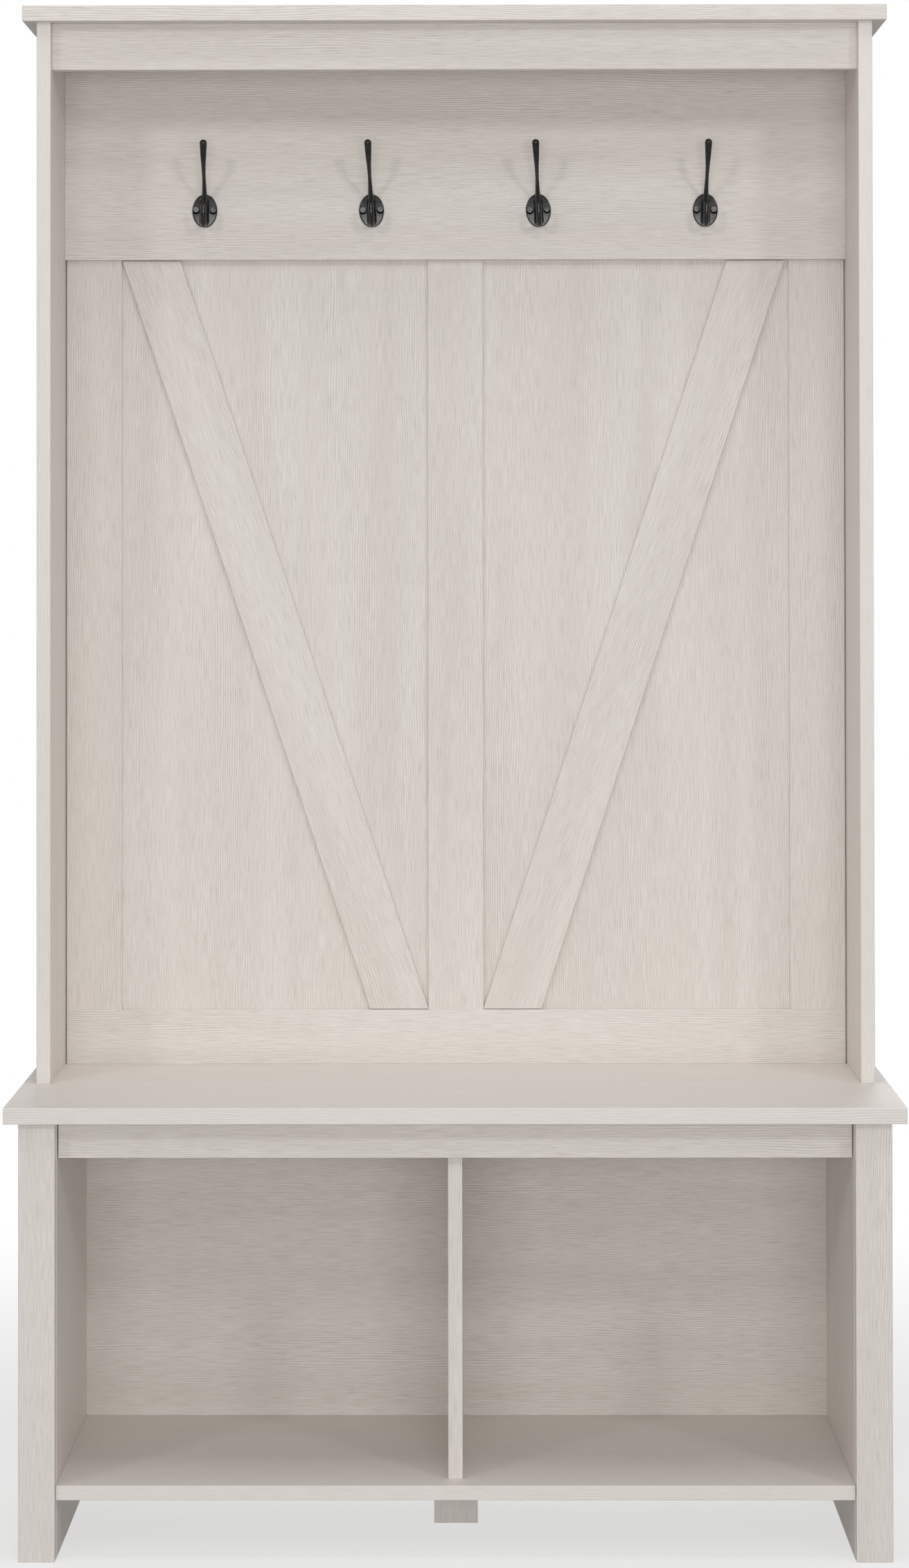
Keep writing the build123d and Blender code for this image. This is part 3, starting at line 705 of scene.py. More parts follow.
def loft(rings: Sequence[Sequence[Point]]) -> bmesh.types.BMesh:
    """A closed skin over rings of points.

    Args:
        rings: Rings with the same number of points, anticlockwise seen from the last.

    Returns:
        The skin.
    """
    skin = bmesh.new()
    rows = [[skin.verts.new(point) for point in ring] for ring in rings]
    for lower, upper in zip(rows, rows[1:]):
        for index in range(len(lower)):
            after = (index + 1) % len(lower)
            skin.faces.new((lower[index], lower[after], upper[after], upper[index]))
    skin.faces.new(list(reversed(rows[0])))
    skin.faces.new(rows[-1])
    return skin


@dataclass(frozen=True)
class Seat:
    """Where one fastener sits: the middle of its head's outer face, and the way that face looks."""

    place: Vector
    aim: Vector
    head_radius: float
    length: float


def solids(node: str) -> list[np.ndarray]:
    """Part a CAD node's mesh into its separate solids.

    Args:
        node: The node's name.

    Returns:
        The corner points of each solid, in a fixed order.
    """
    work = bmesh.new()
    work.from_mesh(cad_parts[node].data)
    bmesh.ops.remove_doubles(work, verts=work.verts, dist=SAME_POINT)
    work.verts.ensure_lookup_table()
    seen: set[int] = set()
    found: list[np.ndarray] = []
    for start in work.verts:
        if start.index in seen:
            continue
        stack = [start]
        seen.add(start.index)
        island = []
        while stack:
            vertex = stack.pop()
            island.append(tuple(vertex.co))
            for edge in vertex.link_edges:
                other = edge.other_vert(vertex)
                if other.index not in seen:
                    seen.add(other.index)
                    stack.append(other)
        found.append(np.array(island))
    work.free()
    return sorted(found, key=lambda points: tuple(points.min(0).round(4)))


def seat_of(points: np.ndarray, along_longest: bool = True) -> Seat:
    """Find a fastener's head from its solid.

    Args:
        points: The solid's corner points.
        along_longest: Whether the axis is the longest side of its box, or the shortest.

    Returns:
        The seat.
    """
    low, high = points.min(0), points.max(0)
    size = high - low
    axis = int(size.argmax() if along_longest else size.argmin())
    middle = (low + high) / 2
    across = [side for side in range(3) if side != axis]
    best: tuple[float, float, float] | None = None
    for end, sign in ((low[axis], -1.0), (high[axis], 1.0)):
        rim = points[np.abs(points[:, axis] - end) < SAME_LEVEL]
        reach = np.linalg.norm(rim[:, across] - middle[across], axis=1)
        score = 2 * reach.max() - reach.min()
        if best is None or score > best[0]:
            best = (score, end, sign)
    place, aim = middle.copy(), np.zeros(3)
    place[axis] = best[1]
    aim[axis] = best[2]
    return Seat(Vector(place), Vector(aim), float(size[across].max() / 2), float(size[axis]))


def seat_points(name: str, seats: Sequence[Seat]) -> bpy.types.Object:
    """Points that fasteners are set on, each with its aim.

    Args:
        name: The object's name.
        seats: The seats.

    Returns:
        The object.
    """
    mesh = bpy.data.meshes.new(name)
    mesh.from_pydata([seat.place for seat in seats], [], [])
    aims = mesh.attributes.new("aim", "FLOAT_VECTOR", "POINT")
    aims.data.foreach_set("vector", [number for seat in seats for number in seat.aim])
    return plain_object(name, mesh)


# ---------------------------------------------------------------- geometry nodes


class GeometryTree(NodeTree):
    """A geometry node tree with named inputs."""

    SOCKETS = {float: "NodeSocketFloat", int: "NodeSocketInt", bpy.types.Material: "NodeSocketMaterial"}

    def __init__(self, name: str, sizes: dict[str, Any]) -> None:
        """Make an empty tree.

        Args:
            name: The tree's name.
            sizes: Each input's name and value.
        """
        super().__init__(bpy.data.node_groups.new(name, "GeometryNodeTree"))
        self.sizes = sizes
        face = self.tree.interface
        face.new_socket("Geometry", in_out="INPUT", socket_type="NodeSocketGeometry")
        for label, value in sizes.items():
            face.new_socket(label, in_out="INPUT", socket_type=self.SOCKETS[type(value)])
        face.new_socket("Geometry", in_out="OUTPUT", socket_type="NodeSocketGeometry")
        self.given = self.node("NodeGroupInput").outputs

    def moved(self, geometry: bpy.types.NodeSocket, way: bpy.types.NodeSocket) -> bpy.types.NodeSocket:
        """Shift a shape.

        Args:
            geometry: The shape.
            way: How far along each axis.

        Returns:
            The shifted shape.
        """
        return self.node("GeometryNodeTransform", {"Geometry": geometry, "Translation": way}).outputs[0]

    def joined(self, operation: str, **meshes: Any) -> bpy.types.NodeSocket:
        """Add meshes together, or cut some out of another, as solids.

        Args:
            operation: The Mesh Boolean node's operation.
            meshes: Its inputs, with underscores for the spaces in their names.

        Returns:
            The result.
        """
        inputs = {name.replace("_", " "): mesh for name, mesh in meshes.items()}
        inputs["Self Intersection"] = True
        return self.node("GeometryNodeMeshBoolean", inputs, operation=operation, solver="EXACT").outputs[0]

    def close(self, geometry: bpy.types.NodeSocket) -> None:
        """End the tree in real geometry with its material.

        Args:
            geometry: What the tree has made.
        """
        real = self.node("GeometryNodeRealizeInstances", {"Geometry": geometry}).outputs[0]
        coated = self.node("GeometryNodeSetMaterial", {"Geometry": real, "Material": self.given["Material"]})
        self.node("NodeGroupOutput", {"Geometry": coated.outputs[0]})

    def grow(self, base: bpy.types.Object, name: str) -> bpy.types.Object:
        """Run the tree on an object, and keep the result as a plain mesh.

        Args:
            base: The object that the tree starts from.
            name: Name of the result.

        Returns:
            The plain object.
        """
        modifier = base.modifiers.new(name, "NODES")
        modifier.node_group = self.tree
        for item in self.tree.interface.items_tree:
            if item.in_out == "INPUT" and item.name in self.sizes:
                modifier[item.identifier] = self.sizes[item.name]
        return settle(base, name)


class Drive(Enum):
    """What a fastener's head is turned by."""

    CROSS = "cross"
    HEX = "hex"
    NONE = "none"


@dataclass(frozen=True)
class Fastener:
    """A kind of fastener, set on every seat of a CAD node. Sizes are in metres."""

    INPUTS: ClassVar[tuple[str, ...]] = (
        "head_height",
        "head_edge",
        "recess_width",
        "recess_length",
        "recess_depth",
        "shank_radius",
        "tip_length",
        "sunk",
        "sides",
        "seed",
    )

    name: str
    node: str
    slot: str = ZINC_PLATE.name
    drive: Drive = Drive.CROSS
    head_height: float = 1.6 * MM
    head_edge: float = 0.5 * MM
    recess_width: float = 1.0 * MM
    recess_length: float = 3.4 * MM
    recess_depth: float = 0.9 * MM
    shank_radius: float = 1.7 * MM
    shank_hold: float = 0.9
    tip_length: float = 3.0 * MM
    tip_taper: float = 0.4
    sunk: float = 0.0
    along_longest: bool = True
    sides: int = 32
    seed: int = 11

    def build(self, material: Material) -> bpy.types.Object:
        """Make the fasteners and put them in the frame.

        Args:
            material: Their finish.

        Returns:
            The piece.
        """
        seats = [seat_of(points, self.along_longest) for points in solids(self.node)]
        sizes = {name.replace("_", " ").title(): getattr(self, name) for name in self.INPUTS}
        sizes["Head Radius"] = seats[0].head_radius
        sizes["Length"] = seats[0].length - self.sunk
        sizes["Material"] = material
        tree = GeometryTree(f"{self.name}_tree", sizes)
        shape = tree.moved(self.one(tree), tree.combine(z=tree.math("MULTIPLY", tree.given["Sunk"], -1.0)))
        stored = tree.node("GeometryNodeInputNamedAttribute", {"Name": "aim"}, data_type="FLOAT_VECTOR")
        inputs = {"Vector": stored.outputs[0]}
        facing = tree.node("FunctionNodeAlignRotationToVector", inputs, axis="Z").outputs[0]
        inputs = {2: 0.0, 3: math.pi, "Seed": tree.given["Seed"]}
        angle = tree.node("FunctionNodeRandomValue", inputs, data_type="FLOAT").outputs[1]
        inputs = {"Axis": (0.0, 0.0, 1.0), "Angle": angle}
        turn = tree.node("FunctionNodeAxisAngleToRotation", inputs).outputs[0]
        inputs = {"Rotation": facing, "Rotate By": turn}
        turned = tree.node("FunctionNodeRotateRotation", inputs, rotation_space="LOCAL").outputs[0]
        inputs = {"Points": tree.given["Geometry"], "Instance": shape, "Rotation": turned}
        tree.close(tree.node("GeometryNodeInstanceOnPoints", inputs).outputs[0])
        piece = tree.grow(seat_points(f"{self.name}_seats", seats), self.name)
        hand_over(piece, [self.node])
        return piece

    def one(self, tree: GeometryTree) -> bpy.types.NodeSocket:
        """One fastener: the face of its head at the origin, looking along Z.

        Args:
            tree: The tree that it is made in.

        Returns:
            Its mesh.
        """
        given = tree.given
        edge_foot = tree.math("MULTIPLY", given["Head Edge"], -1.0)
        barrel_height = tree.math("SUBTRACT", given["Head Height"], given["Head Edge"])
        barrel = self.rod(tree, given["Head Radius"], given["Head Radius"], edge_foot, barrel_height)
        crown_radius = tree.math("SUBTRACT", given["Head Radius"], given["Head Edge"])
        crown = self.rod(tree, crown_radius, given["Head Radius"], 0.0, given["Head Edge"])
        shank_top = tree.math("MULTIPLY", given["Head Height"], -self.shank_hold)
        shank_length = tree.math("SUBTRACT", given["Length"], given["Tip Length"])
        shank_length = tree.math("ADD", shank_length, shank_top)
        shank = self.rod(tree, given["Shank Radius"], given["Shank Radius"], shank_top, shank_length)
        tip_radius = tree.math("MULTIPLY", given["Shank Radius"], self.tip_taper)
        tip_top = tree.math("SUBTRACT", given["Tip Length"], given["Length"])
        tip = self.rod(tree, given["Shank Radius"], tip_radius, tip_top, given["Tip Length"])
        whole = tree.joined("UNION", Mesh_2=[barrel, crown, shank, tip])
        cutters = self.cutters(tree)
        return tree.joined("DIFFERENCE", Mesh_1=whole, Mesh_2=cutters) if cutters else whole

    def rod(
        self, tree: GeometryTree, top: Any, bottom: Any, top_height: Any, length: Any
    ) -> bpy.types.NodeSocket:
        """A round length of the fastener.

        Args:
            tree: The tree.
            top: Radius at its top.
            bottom: Radius at its foot.
            top_height: Height of its top.
            length: Its length.

        Returns:
            Its mesh.
        """
        inputs = {"Radius Top": top, "Radius Bottom": bottom, "Depth": length}
        cone = tree.node("GeometryNodeMeshCone", {"Vertices": tree.given["Sides"], **inputs}).outputs[0]
        return tree.moved(cone, tree.combine(z=tree.math("SUBTRACT", top_height, length)))

    def cutters(self, tree: GeometryTree) -> list[bpy.types.NodeSocket]:
        """What is cut out of the head for the driver.

        Args:
            tree: The tree.

        Returns:
            The cutting shapes.
        """
        width, length = tree.given["Recess Width"], tree.given["Recess Length"]
        depth = tree.math("MULTIPLY", tree.given["Recess Depth"], 2.0)
        if self.drive is Drive.HEX:
            inputs = {"Vertices": 6, "Radius": width, "Depth": depth}
            return [tree.node("GeometryNodeMeshCylinder", inputs).outputs[0]]
        if self.drive is Drive.CROSS:
            arms = (tree.combine(length, width, depth), tree.combine(width, length, depth))
            return [tree.node("GeometryNodeMeshCube", {"Size": arm}).outputs[0] for arm in arms]
        return []


# ---------------------------------------------------------------- boards


@dataclass
class Boards:
    """A set of boards that are cut from the same laminate."""

    finishes: Finishes
    upright: tuple[str, ...] = ()
    crosswise: tuple[str, ...] = ()
    quiet: tuple[str, ...] = ()
    quiet_figure: float = 0.45
    first_cut: float = 1.0
    cut_step: Point = (3.71, 1.37, 2.23)
    cuts: int = field(default=0, init=False)

    def next_place(self) -> Point:
        """Where on the print the next board is cut."""
        self.cuts += 1
        return tuple(self.first_cut + self.cuts * step for step in self.cut_step)

    def dress_board(self, name: str, run: Sequence[float]) -> None:
        """Give one board its laminate.

        Args:
            name: The board's node.
            run: The way that its grain runs.
        """
        figure = self.quiet_figure if name in self.quiet else 1.0
        dress(name, self.finishes.laminate.material(name, run, self.next_place(), figure))

    def build(self) -> None:
        """Dress every board."""
        for names, grain in ((self.upright, Grain.UPRIGHT), (self.crosswise, Grain.CROSSWISE)):
            for name in names:
                self.dress_board(name, grain.value)


@dataclass
class Bench(Boards):
    """The bench: its top, sides, legs, shelf, divider, foot and back."""

    upright: tuple[str, ...] = (
        "left_side_panel",
        "right_side_panel",
        "left_front_leg",
        "right_front_leg",
        "left_rear_leg",
        "right_rear_leg",
        "divider",
        "centre_foot",
    )
    crosswise: tuple[str, ...] = ("bench_top", "apron", "bottom_shelf")
    quiet: tuple[str, ...] = ("left_side_panel", "right_side_panel", "bench_top", "bottom_shelf")
    back: str = "cabinet_back"
    hardboard: Hardboard = Hardboard()

    def build(self) -> None:
        """Dress the boards, then the cabinet back with its two faces."""
        super().build()
        self.dress_back()

    def dress_back(self) -> None:
        """Laminate on the front of the back, and bare hardboard behind."""
        material = self.finishes.laminate.material(self.back, Grain.CROSSWISE.value, self.next_place())
        tree = ShaderTree(material)
        shader = next(node for node in tree.tree.nodes if node.type == "BSDF_PRINCIPLED")
        front = shader.inputs["Base Color"].links[0].from_socket
        facing = tree.split(tree.node("ShaderNodeNewGeometry").outputs["True Normal"])[1]
        behind = self.hardboard.seen_behind.read(tree, facing)
        tree.feed(shader.inputs["Base Color"], tree.blend(behind, front, self.hardboard.rear(tree)))
        dress(self.back, material)


@dataclass
class Hutch(Boards):
    """The hutch: its sides, top, rails, rear panels and the trim on them."""

    upright: tuple[str, ...] = (
        "hutch_left_side",
        "hutch_right_side",
        "left_rear_panel",
        "right_rear_panel",
        "left_stile",
        "centre_stile",
        "right_stile",
    )
    crosswise: tuple[str, ...] = ("hutch_top", "top_rail", "hook_board", "bottom_rail")
    quiet: tuple[str, ...] = ("hutch_left_side", "hutch_right_side")
    braces: tuple[str, ...] = ("left_brace", "right_brace")
    first_cut: float = 60.0

    def build(self) -> None:
        """Dress the boards, then the braces with grain along their slant."""
        super().build()
        for name in self.braces:
            self.dress_board(name, self.slant(name))

    def slant(self, name: str) -> Point:
        """Direction of a brace, from the longest line across its face.

        Args:
            name: The brace's node.

        Returns:
            A direction in the XZ plane, pointing up.
        """
        points = solids(name)[0]
        high = points[points[:, 2] > points[:, 2].max() - SAME_LEVEL]
        low = points[points[:, 2] < points[:, 2].min() + SAME_LEVEL]
        run = high.mean(0) - low.mean(0)
        run /= np.linalg.norm(run)
        return (float(run[0]), 0.0, float(run[2]))


# ---------------------------------------------------------------- hooks


@dataclass(frozen=True)
class Station:
    """A place on the middle line of a prong: its height, its distance out and the prong's radius there."""

    up: float
    out: float
    radius: float


@dataclass(frozen=True)
class CoatHook:
    """A cast double hook, made with its plate's back at the origin: X across, Y up, Z out. Sizes in mm."""

    plate_width: float = 30.0
    plate_height: float = 40.0
    plate_thickness: float = 3.0
    plate_round: float = 1.2
    plate_fall: float = 0.5
    rim_steps: int = 4
    ridge_foot: float = 5.0
    ridge_top: float = 3.1
    ridge_length: float = 35.0
    ridge_rise: float = 3.5
    ridge_edge_height: float = 0.8
    ridge_edge_width: float = 0.9
    ridge_end_slope: float = 1.2
    screw_place: float = 10.3
    screw_recess: float = 4.15
    screw_floor: float = 1.8
    coat_prong: tuple[Station, ...] = (
        Station(up=1.0, out=5.0, radius=4.1),
        Station(up=12.0, out=8.0, radius=3.6),
        Station(up=24.0, out=15.5, radius=2.7),
        Station(up=37.0, out=26.0, radius=2.2),
        Station(up=50.0, out=37.0, radius=2.6),
        Station(up=63.0, out=45.0, radius=3.6),
        Station(up=77.0, out=49.0, radius=4.4),
    )
    bag_prong: tuple[Station, ...] = (
        Station(up=-4.0, out=5.0, radius=3.9),
        Station(up=-12.0, out=7.5, radius=3.8),
        Station(up=-17.0, out=13.0, radius=3.6),
        Station(up=-17.5, out=20.0, radius=3.4),
        Station(up=-13.0, out=25.5, radius=3.3),
        Station(up=-5.0, out=28.5, radius=3.3),
        Station(up=4.0, out=29.0, radius=3.5),
    )
    slot: str = "black_casting"
    tip_from: float = 72.0
    prong_stations: int = 56
    prong_sides: int = 28
    ball_rings: int = 16
    voxel: float = 0.42
    soften_share: float = 0.5
    soften_rounds: int = 7
    rounds: int = 64

    def oval(self, inset: float, height: float) -> list[Point]:
        """One level of the plate.

        Args:
            inset: How far inside the plate's outline.
            height: Distance out from the board.

        Returns:
            Its outline.
        """
        wide, tall = self.plate_width / 2 - inset, self.plate_height / 2 - inset
        turns = [2 * math.pi * index / self.rounds for index in range(self.rounds)]
        return [(wide * math.cos(turn), tall * math.sin(turn), height) for turn in turns]

    def stadium(self, half: float, reach: float, height: float) -> list[Point]:
        """One level of the ridge.

        Args:
            half: Half its width.
            reach: Half its length.
            height: Distance out from the board.

        Returns:
            Its outline.
        """
        outline = []
        for index in range(self.rounds):
            turn = 2 * math.pi * index / self.rounds
            lift = (reach - half) * (1 if math.sin(turn) >= 0 else -1)
            outline.append((half * math.cos(turn), half * math.sin(turn) + lift, height))
        return outline

    def plate(self) -> bmesh.types.BMesh:
        """The oval plate: a rounded rim, and a face that falls a little from the ridge to the rim.

        Returns:
            The plate.
        """
        rim = self.plate_thickness - self.plate_fall
        levels = [self.oval(0.0, 0.0), self.oval(0.0, rim - self.plate_round)]
        for step in range(1, self.rim_steps + 1):
            turn = math.pi / 2 * step / self.rim_steps
            inset = self.plate_round * (1 - math.cos(turn))
            levels.append(self.oval(inset, rim - self.plate_round * (1 - math.sin(turn))))
        levels.append(self.oval(self.plate_width / 2 - self.ridge_foot, self.plate_thickness))
        return loft(levels)

    def ridge(self) -> bmesh.types.BMesh:
        """The ridge down the middle of the plate, with sloped sides.

        Returns:
            The ridge.
        """
        reach = self.ridge_length / 2
        top = self.plate_thickness + self.ridge_rise
        slope = self.ridge_foot - self.ridge_top
        crown, crown_reach = self.ridge_top - self.ridge_edge_width, reach - slope - self.ridge_end_slope
        return loft(
            [
                self.stadium(self.ridge_foot, reach, self.plate_thickness / 2),
                self.stadium(self.ridge_foot, reach, self.plate_thickness),
                self.stadium(self.ridge_top, reach - slope, top - self.ridge_edge_height),
                self.stadium(crown, crown_reach, top),
            ]
        )

    def prong(self, name: str, stations: Sequence[Station], material: Material) -> bpy.types.Object:
        """A prong swept along its stations, with a ball at its tip.

        Args:
            name: The prong's name.
            stations: Its stations, from the plate to the tip.
            material: The finish.

        Returns:
            The prong as a plain mesh, in mm.
        """
        line = bpy.data.curves.new(name, "CURVE")
        line.dimensions = "3D"
        spline = line.splines.new("BEZIER")
        spline.bezier_points.add(len(stations) - 1)
        for point, station in zip(spline.bezier_points, stations):
            point.co = (0.0, station.up, station.out)
            point.radius = station.radius
            point.handle_left_type = point.handle_right_type = "AUTO"
        base = bpy.data.objects.new(name, line)
        bpy.context.scene.collection.objects.link(base)
        tip = stations[-1]
        sizes = {
            "Stations": self.prong_stations,
            "Sides": self.prong_sides,
            "Tip Up": tip.up,
            "Tip Out": tip.out,
            "Tip Radius": tip.radius,
            "Material": material,
        }
        tree = GeometryTree(f"{name}_tree", sizes)
        given = tree.given
        inputs = {"Curve": given["Geometry"], "Count": given["Stations"]}
        path = tree.node("GeometryNodeResampleCurve", inputs, mode="COUNT").outputs[0]
        inputs = {"Resolution": given["Sides"], "Radius": 1.0}
        ring = tree.node("GeometryNodeCurvePrimitiveCircle", inputs, mode="RADIUS").outputs[0]
        thick = tree.node("GeometryNodeInputRadius").outputs[0]
        inputs = {"Curve": path, "Profile Curve": ring, "Scale": thick, "Fill Caps": True}
        swept = tree.node("GeometryNodeCurveToMesh", inputs).outputs[0]
        inputs = {"Segments": given["Sides"], "Rings": self.ball_rings, "Radius": given["Tip Radius"]}
        ball = tree.node("GeometryNodeMeshUVSphere", inputs).outputs[0]
        ball = tree.moved(ball, tree.combine(y=given["Tip Up"], z=given["Tip Out"]))
        tree.close(tree.node("GeometryNodeJoinGeometry", {0: [swept, ball]}).outputs[0])
        return tree.grow(base, name)

    def casting(self, material: Material) -> bpy.types.Mesh:
        """The whole casting, its parts run together as metal does.

        Args:
            material: The finish.

        Returns:
            The mesh, in mm.
        """
        whole = bmesh.new()
        for part in (self.plate(), self.ridge()):
            held = bpy.data.meshes.new("part")
            part.to_mesh(held)
            whole.from_mesh(held)
            part.free()
        for name, stations in (("coat_prong", self.coat_prong), ("bag_prong", self.bag_prong)):
            prong = self.prong(name, stations, material)
            whole.from_mesh(prong.data)
            bpy.data.objects.remove(prong)
        bmesh.ops.recalc_face_normals(whole, faces=whole.faces)
        mesh = bpy.data.meshes.new("casting")
        whole.to_mesh(mesh)
        whole.free()
        body = plain_object("casting", mesh)
        melt = body.modifiers.new("melt", "REMESH")
        melt.mode = "VOXEL"
        melt.voxel_size = self.voxel
        soften = body.modifiers.new("soften", "SMOOTH")
        soften.factor = self.soften_share
        soften.iterations = self.soften_rounds
        drill = self.drill()
        bore = body.modifiers.new("bore", "BOOLEAN")
        bore.operation = "DIFFERENCE"
        bore.solver = "EXACT"
        bore.object = drill
        done = settle(body, "casting_done")
        bpy.data.objects.remove(drill)
        result = done.data
        bpy.data.objects.remove(done)
        result.materials.clear()
        result.materials.append(material)
        return result

    def drill(self) -> bpy.types.Object:
        """The two round recesses that the screw heads lie in.

        Returns:
            The cutting shape.
        """
        cut = bmesh.new()
        height = 2 * self.plate_thickness
        for side in (-1, 1):
            place = Matrix.Translation((side * self.screw_place, 0.0, self.screw_floor + height / 2))
            bmesh.ops.create_cone(
                cut,
                cap_ends=True,
                segments=self.rounds,
                radius1=self.screw_recess,
                radius2=self.screw_recess,
                depth=height,
                matrix=place,
            )
        mesh = bpy.data.meshes.new("drill")
        cut.to_mesh(mesh)
        cut.free()
        return plain_object("drill", mesh)

    def seat(self, node: str) -> Matrix:
        """Place of a hook on the hook board, from its CAD node: plate centre, and the lean of its prong.

        Args:
            node: The hook's node.

        Returns:
            The matrix from the casting's millimetres to the frame.
        """
        low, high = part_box(node)
        centre_x = (low.x + high.x) / 2
        centre_z = low.z + self.plate_height / 2 * MM
        points = solids(node)[0]
        tip = points[points[:, 2] > centre_z + self.tip_from * MM]
        lean = math.atan2(tip[:, 0].mean() - centre_x, tip[:, 2].mean() - centre_z)
        across = Vector((math.cos(lean), 0.0, -math.sin(lean)))
        upward = Vector((math.sin(lean), 0.0, math.cos(lean)))
        outward = Vector((0.0, -1.0, 0.0))
        turn = Matrix((across, upward, outward)).transposed().to_4x4()
        place = Matrix.Translation((centre_x, high.y, centre_z))
        return place @ turn @ Matrix.Scale(MM, 4)

    def build(self, nodes: Sequence[str], material: Material) -> None:
        """Cast the hooks and screw each to its place.

        Args:
            nodes: The hooks' nodes.
            material: The finish.
        """
        casting = self.casting(material)
        for node in nodes:
            mesh = casting.copy()
            mesh.transform(self.seat(node))
            mesh.shade_smooth()
            piece = plain_object(f"cast_{node}", mesh)
            hand_over(piece, [node])


# ---------------------------------------------------------------- fittings


@dataclass
class Fittings:
    """Screws, nails, cams, dowels and brackets."""

    finishes: Finishes
    repeated: tuple[Fastener, ...] = (
        Fastener(
            name="hook_screw_set",
            node="hook_screws",
            slot=BLACK_STEEL.name,
            recess_length=5.0 * MM,
            recess_width=1.1 * MM,
            recess_depth=1.2 * MM,
            sunk=0.6 * MM,
        ),
        Fastener(name="rear_panel_screw_set", node="rear_panel_screws", head_edge=0.2 * MM),
        Fastener(name="trim_screw_set", node="trim_screws", head_edge=0.2 * MM),
        Fastener(name="bracket_screw_set", node="bracket_screws"),
        Fastener(
            name="confirmat_set",
            node="confirmat_screws",
            drive=Drive.HEX,
            head_height=3.0 * MM,
            head_edge=0.3 * MM,
            recess_width=2.3 * MM,
            recess_depth=2.4 * MM,
            shank_radius=3.4 * MM,
        ),
        Fastener(
            name="back_nail_set",
            node="back_nails",
            drive=Drive.NONE,
            head_height=0.8 * MM,
            head_edge=0.25 * MM,
            shank_radius=0.8 * MM,
            tip_length=2.0 * MM,
            sides=20,
        ),
        Fastener(
            name="cam_lock_set",
            node="cam_locks",
            slot=ZINC_CASTING.name,
            head_height=2.5 * MM,
            recess_width=1.7 * MM,
            recess_length=7.0 * MM,
            recess_depth=1.6 * MM,
            shank_radius=6.6 * MM,
            tip_length=1.0 * MM,
            along_longest=False,
            sides=40,
        ),
    )
    plated: tuple[str, ...] = ("cam_bolts", "apron_brackets")
    turned: str = "dowels"

    def build(self) -> None:
        """Make the fittings that repeat, and dress the rest."""
        for kind in self.repeated:
            kind.build(self.finishes.metals[kind.slot])
        for node in self.plated:
            dress(node, self.finishes.metals[ZINC_PLATE.name])
        dress(self.turned, self.finishes.beech)


# ---------------------------------------------------------------- studio


@dataclass(frozen=True)
class SoftBox:
    """A soft box. Its size is its width and height, and its power is in watts."""

    name: str
    place: Point
    size: tuple[float, float]
    power: float

    def build(self, target: Point) -> None:
        """Hang it.

        Args:
            target: Where it looks.
        """
        data = bpy.data.lights.new(self.name, "AREA")
        data.shape = "RECTANGLE"
        data.size, data.size_y = self.size
        data.energy = self.power
        lamp = bpy.data.objects.new(self.name, data)
        aim = (Vector(target) - Vector(self.place)).to_track_quat("-Z", "Y")
        lamp.matrix_world = Matrix.Translation(self.place) @ aim.to_matrix().to_4x4()
        bpy.context.scene.collection.objects.link(lamp)


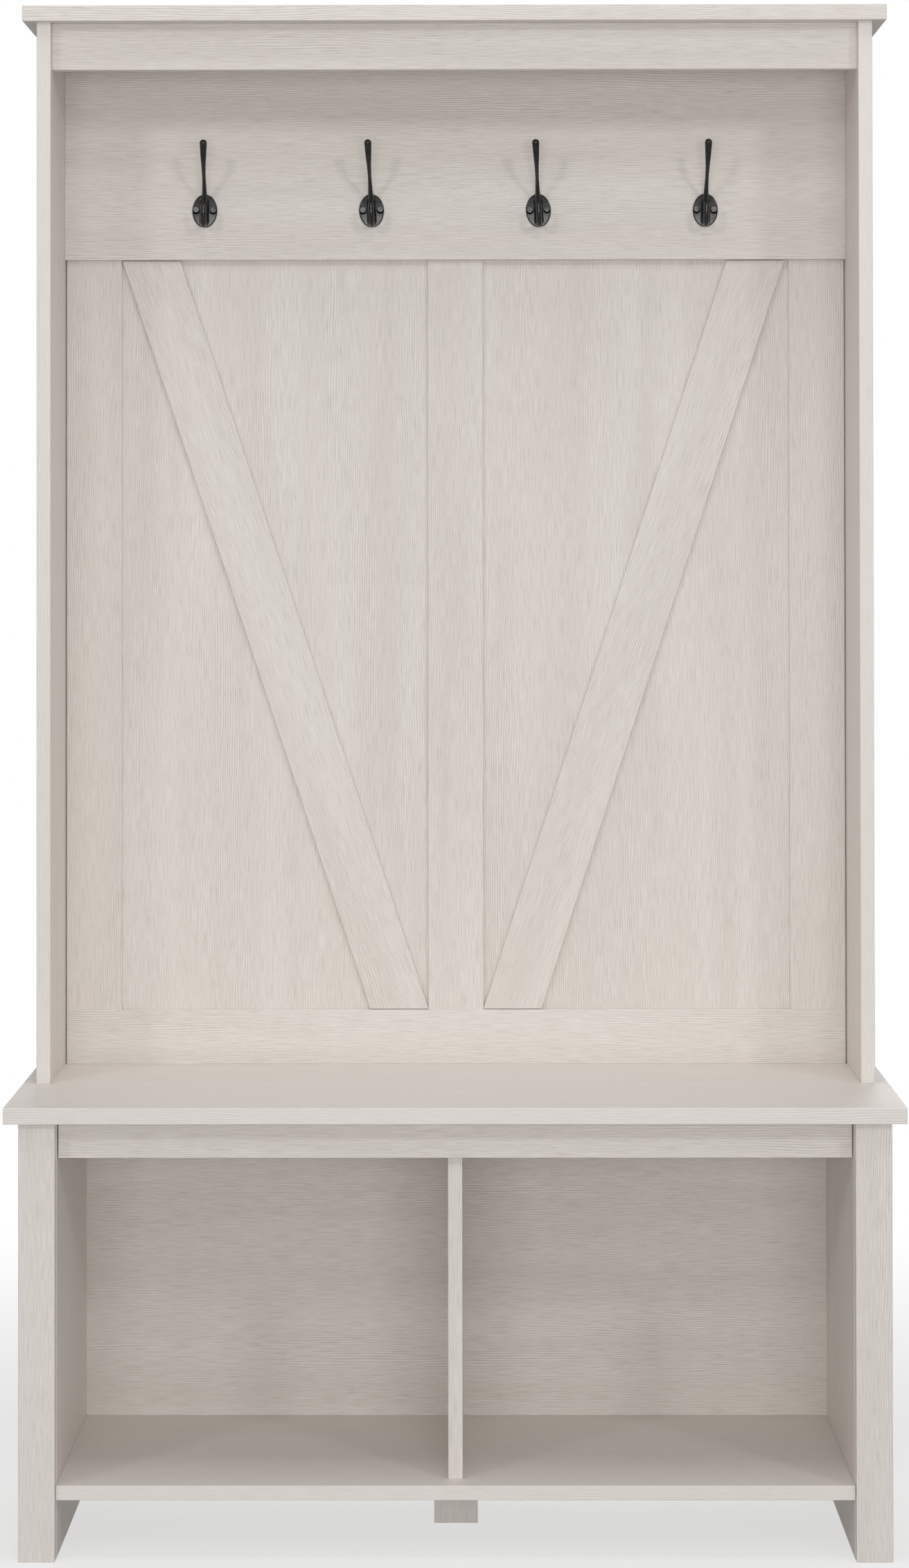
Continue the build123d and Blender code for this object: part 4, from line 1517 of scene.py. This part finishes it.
@dataclass(frozen=True)
class Studio:
    """Floor, lights and camera. The lens is given for the long side of the picture."""

    lens: float = 93.26
    film_width: float = 36.0
    far_limit: float = 200.0
    eye: Point = (0.01774, -4.69965, 1.13426)
    yaw: float = 0.005202
    pitch: float = 0.015
    roll: float = 0.0012358
    shift: tuple[float, float] = (0.00353, -0.1964)
    floor_colour: Colour = (0.82, 0.815, 0.81)
    floor_size: float = 12.0
    floor_fade: Ramp = Ramp(low=0.7, high=2.2, bottom=0.6)
    floor_gloss: Ramp = Ramp(low=0.3, high=0.7, bottom=0.6, top=0.7)
    floor_clouds: Clouds = Clouds(scale=1.5, detail=4.0)
    floor_shade: float = 0.985
    floor_shine: float = 0.2
    sky: float = 0.35
    sky_colour: tuple[float, ...] = (1.0, 0.998, 0.995, 1.0)
    wall_colour: tuple[float, ...] = (1.0, 1.0, 1.0, 1.0)
    middle: Point = (0.0, 0.0, 0.95)
    lights: tuple[SoftBox, ...] = (
        SoftBox("front", place=(0.1, -6.3, 0.95), size=(3.4, 1.8), power=99.0),
        SoftBox("left", place=(-3.2, -4.5, 3.2), size=(0.6, 0.6), power=30.0),
        SoftBox("right", place=(3.2, -4.5, 3.2), size=(0.6, 0.6), power=32.0),
        SoftBox("high", place=(0.4, -3.8, 4.3), size=(0.7, 0.7), power=14.0),
        SoftBox("overhead", place=(0.0, -1.0, 4.3), size=(2.6, 1.4), power=33.0),
        SoftBox("rear", place=(0.5, 4.5, 2.6), size=(3.0, 2.0), power=45.0),
    )

    def camera(self) -> None:
        """A nearly level camera in front of the hutch, its frame shifted down to take in the bench."""
        data = bpy.data.cameras.new("camera")
        data.lens = self.lens
        data.sensor_width = self.film_width
        data.shift_x, data.shift_y = self.shift
        data.clip_end = self.far_limit
        turn = Matrix.Rotation(self.yaw, 3, "Z") @ Matrix.Rotation(self.pitch, 3, "X")
        turn = turn @ Matrix.Rotation(self.roll, 3, "Y")
        stand = bpy.data.objects.new("camera", data)
        upright = Matrix(((1, 0, 0), (0, 0, -1), (0, 1, 0)))
        stand.matrix_world = Matrix.Translation(self.eye) @ (turn @ upright).to_4x4()
        bpy.context.scene.collection.objects.link(stand)
        bpy.context.scene.camera = stand

    def floor(self) -> None:
        """A pale, mostly clear floor with a faint unevenness of tone, that fades into the white behind."""
        tree = ShaderTree.blank("floor")
        clouds = self.floor_clouds.read(tree)
        darker = tuple(channel * self.floor_shade for channel in self.floor_colour)
        pale = tree.principled(
            Base_Color=tree.blend(clouds, self.floor_colour, darker),
            Roughness=self.floor_gloss.read(tree, clouds),
            Specular_IOR_Level=self.floor_shine,
        )
        reach = tree.node("ShaderNodeVectorMath", {0: tree.object_place}, operation="LENGTH").outputs["Value"]
        clear = tree.node("ShaderNodeBsdfTransparent").outputs[0]
        inputs = {0: self.floor_fade.read(tree, reach), 1: pale, 2: clear}
        material = tree.finish(tree.node("ShaderNodeMixShader", inputs).outputs[0])
        half = self.floor_size / 2
        mesh = bpy.data.meshes.new("floor")
        corners = [(-half, -half, 0.0), (half, -half, 0.0), (half, half, 0.0), (-half, half, 0.0)]
        mesh.from_pydata(corners, [], [(0, 1, 2, 3)])
        mesh.materials.append(material)
        plain_object("floor", mesh)

    def backdrop(self) -> None:
        """Even light from all round, and a plain white that only the camera sees."""
        world = bpy.data.worlds.new("studio")
        world.use_nodes = True
        world.node_tree.nodes.clear()
        tree = NodeTree(world.node_tree)
        seen = tree.node("ShaderNodeLightPath").outputs["Is Camera Ray"]
        sky = tree.node("ShaderNodeBackground", {"Color": self.sky_colour, "Strength": self.sky})
        wall = tree.node("ShaderNodeBackground", {"Color": self.wall_colour, "Strength": 1.0})
        mixed = tree.node("ShaderNodeMixShader", {0: seen, 1: sky.outputs[0], 2: wall.outputs[0]})
        tree.node("ShaderNodeOutputWorld", {"Surface": mixed.outputs[0]})
        bpy.context.scene.world = world

    def build(self) -> None:
        """Set up the whole studio."""
        self.floor()
        self.camera()
        self.backdrop()
        for light in self.lights:
            light.build(self.middle)
        bpy.context.scene.view_settings.view_transform = "Standard"
        LOG.info("studio set up")


def hook_nodes() -> list[str]:
    """Names of the hooks' CAD nodes, in order."""
    return [name for name in sorted(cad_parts) if name.startswith("hook_") and name[-1].isdigit()]


def main() -> None:
    """Build the classes in order."""
    logging.basicConfig(level=logging.INFO, format="%(name)s: %(message)s")
    finishes = Finishes()
    Studio().build()
    Bench(finishes).build()
    Hutch(finishes).build()
    CoatHook().build(hook_nodes(), finishes.casting)
    Fittings(finishes).build()


if __name__ == "__main__":
    main()
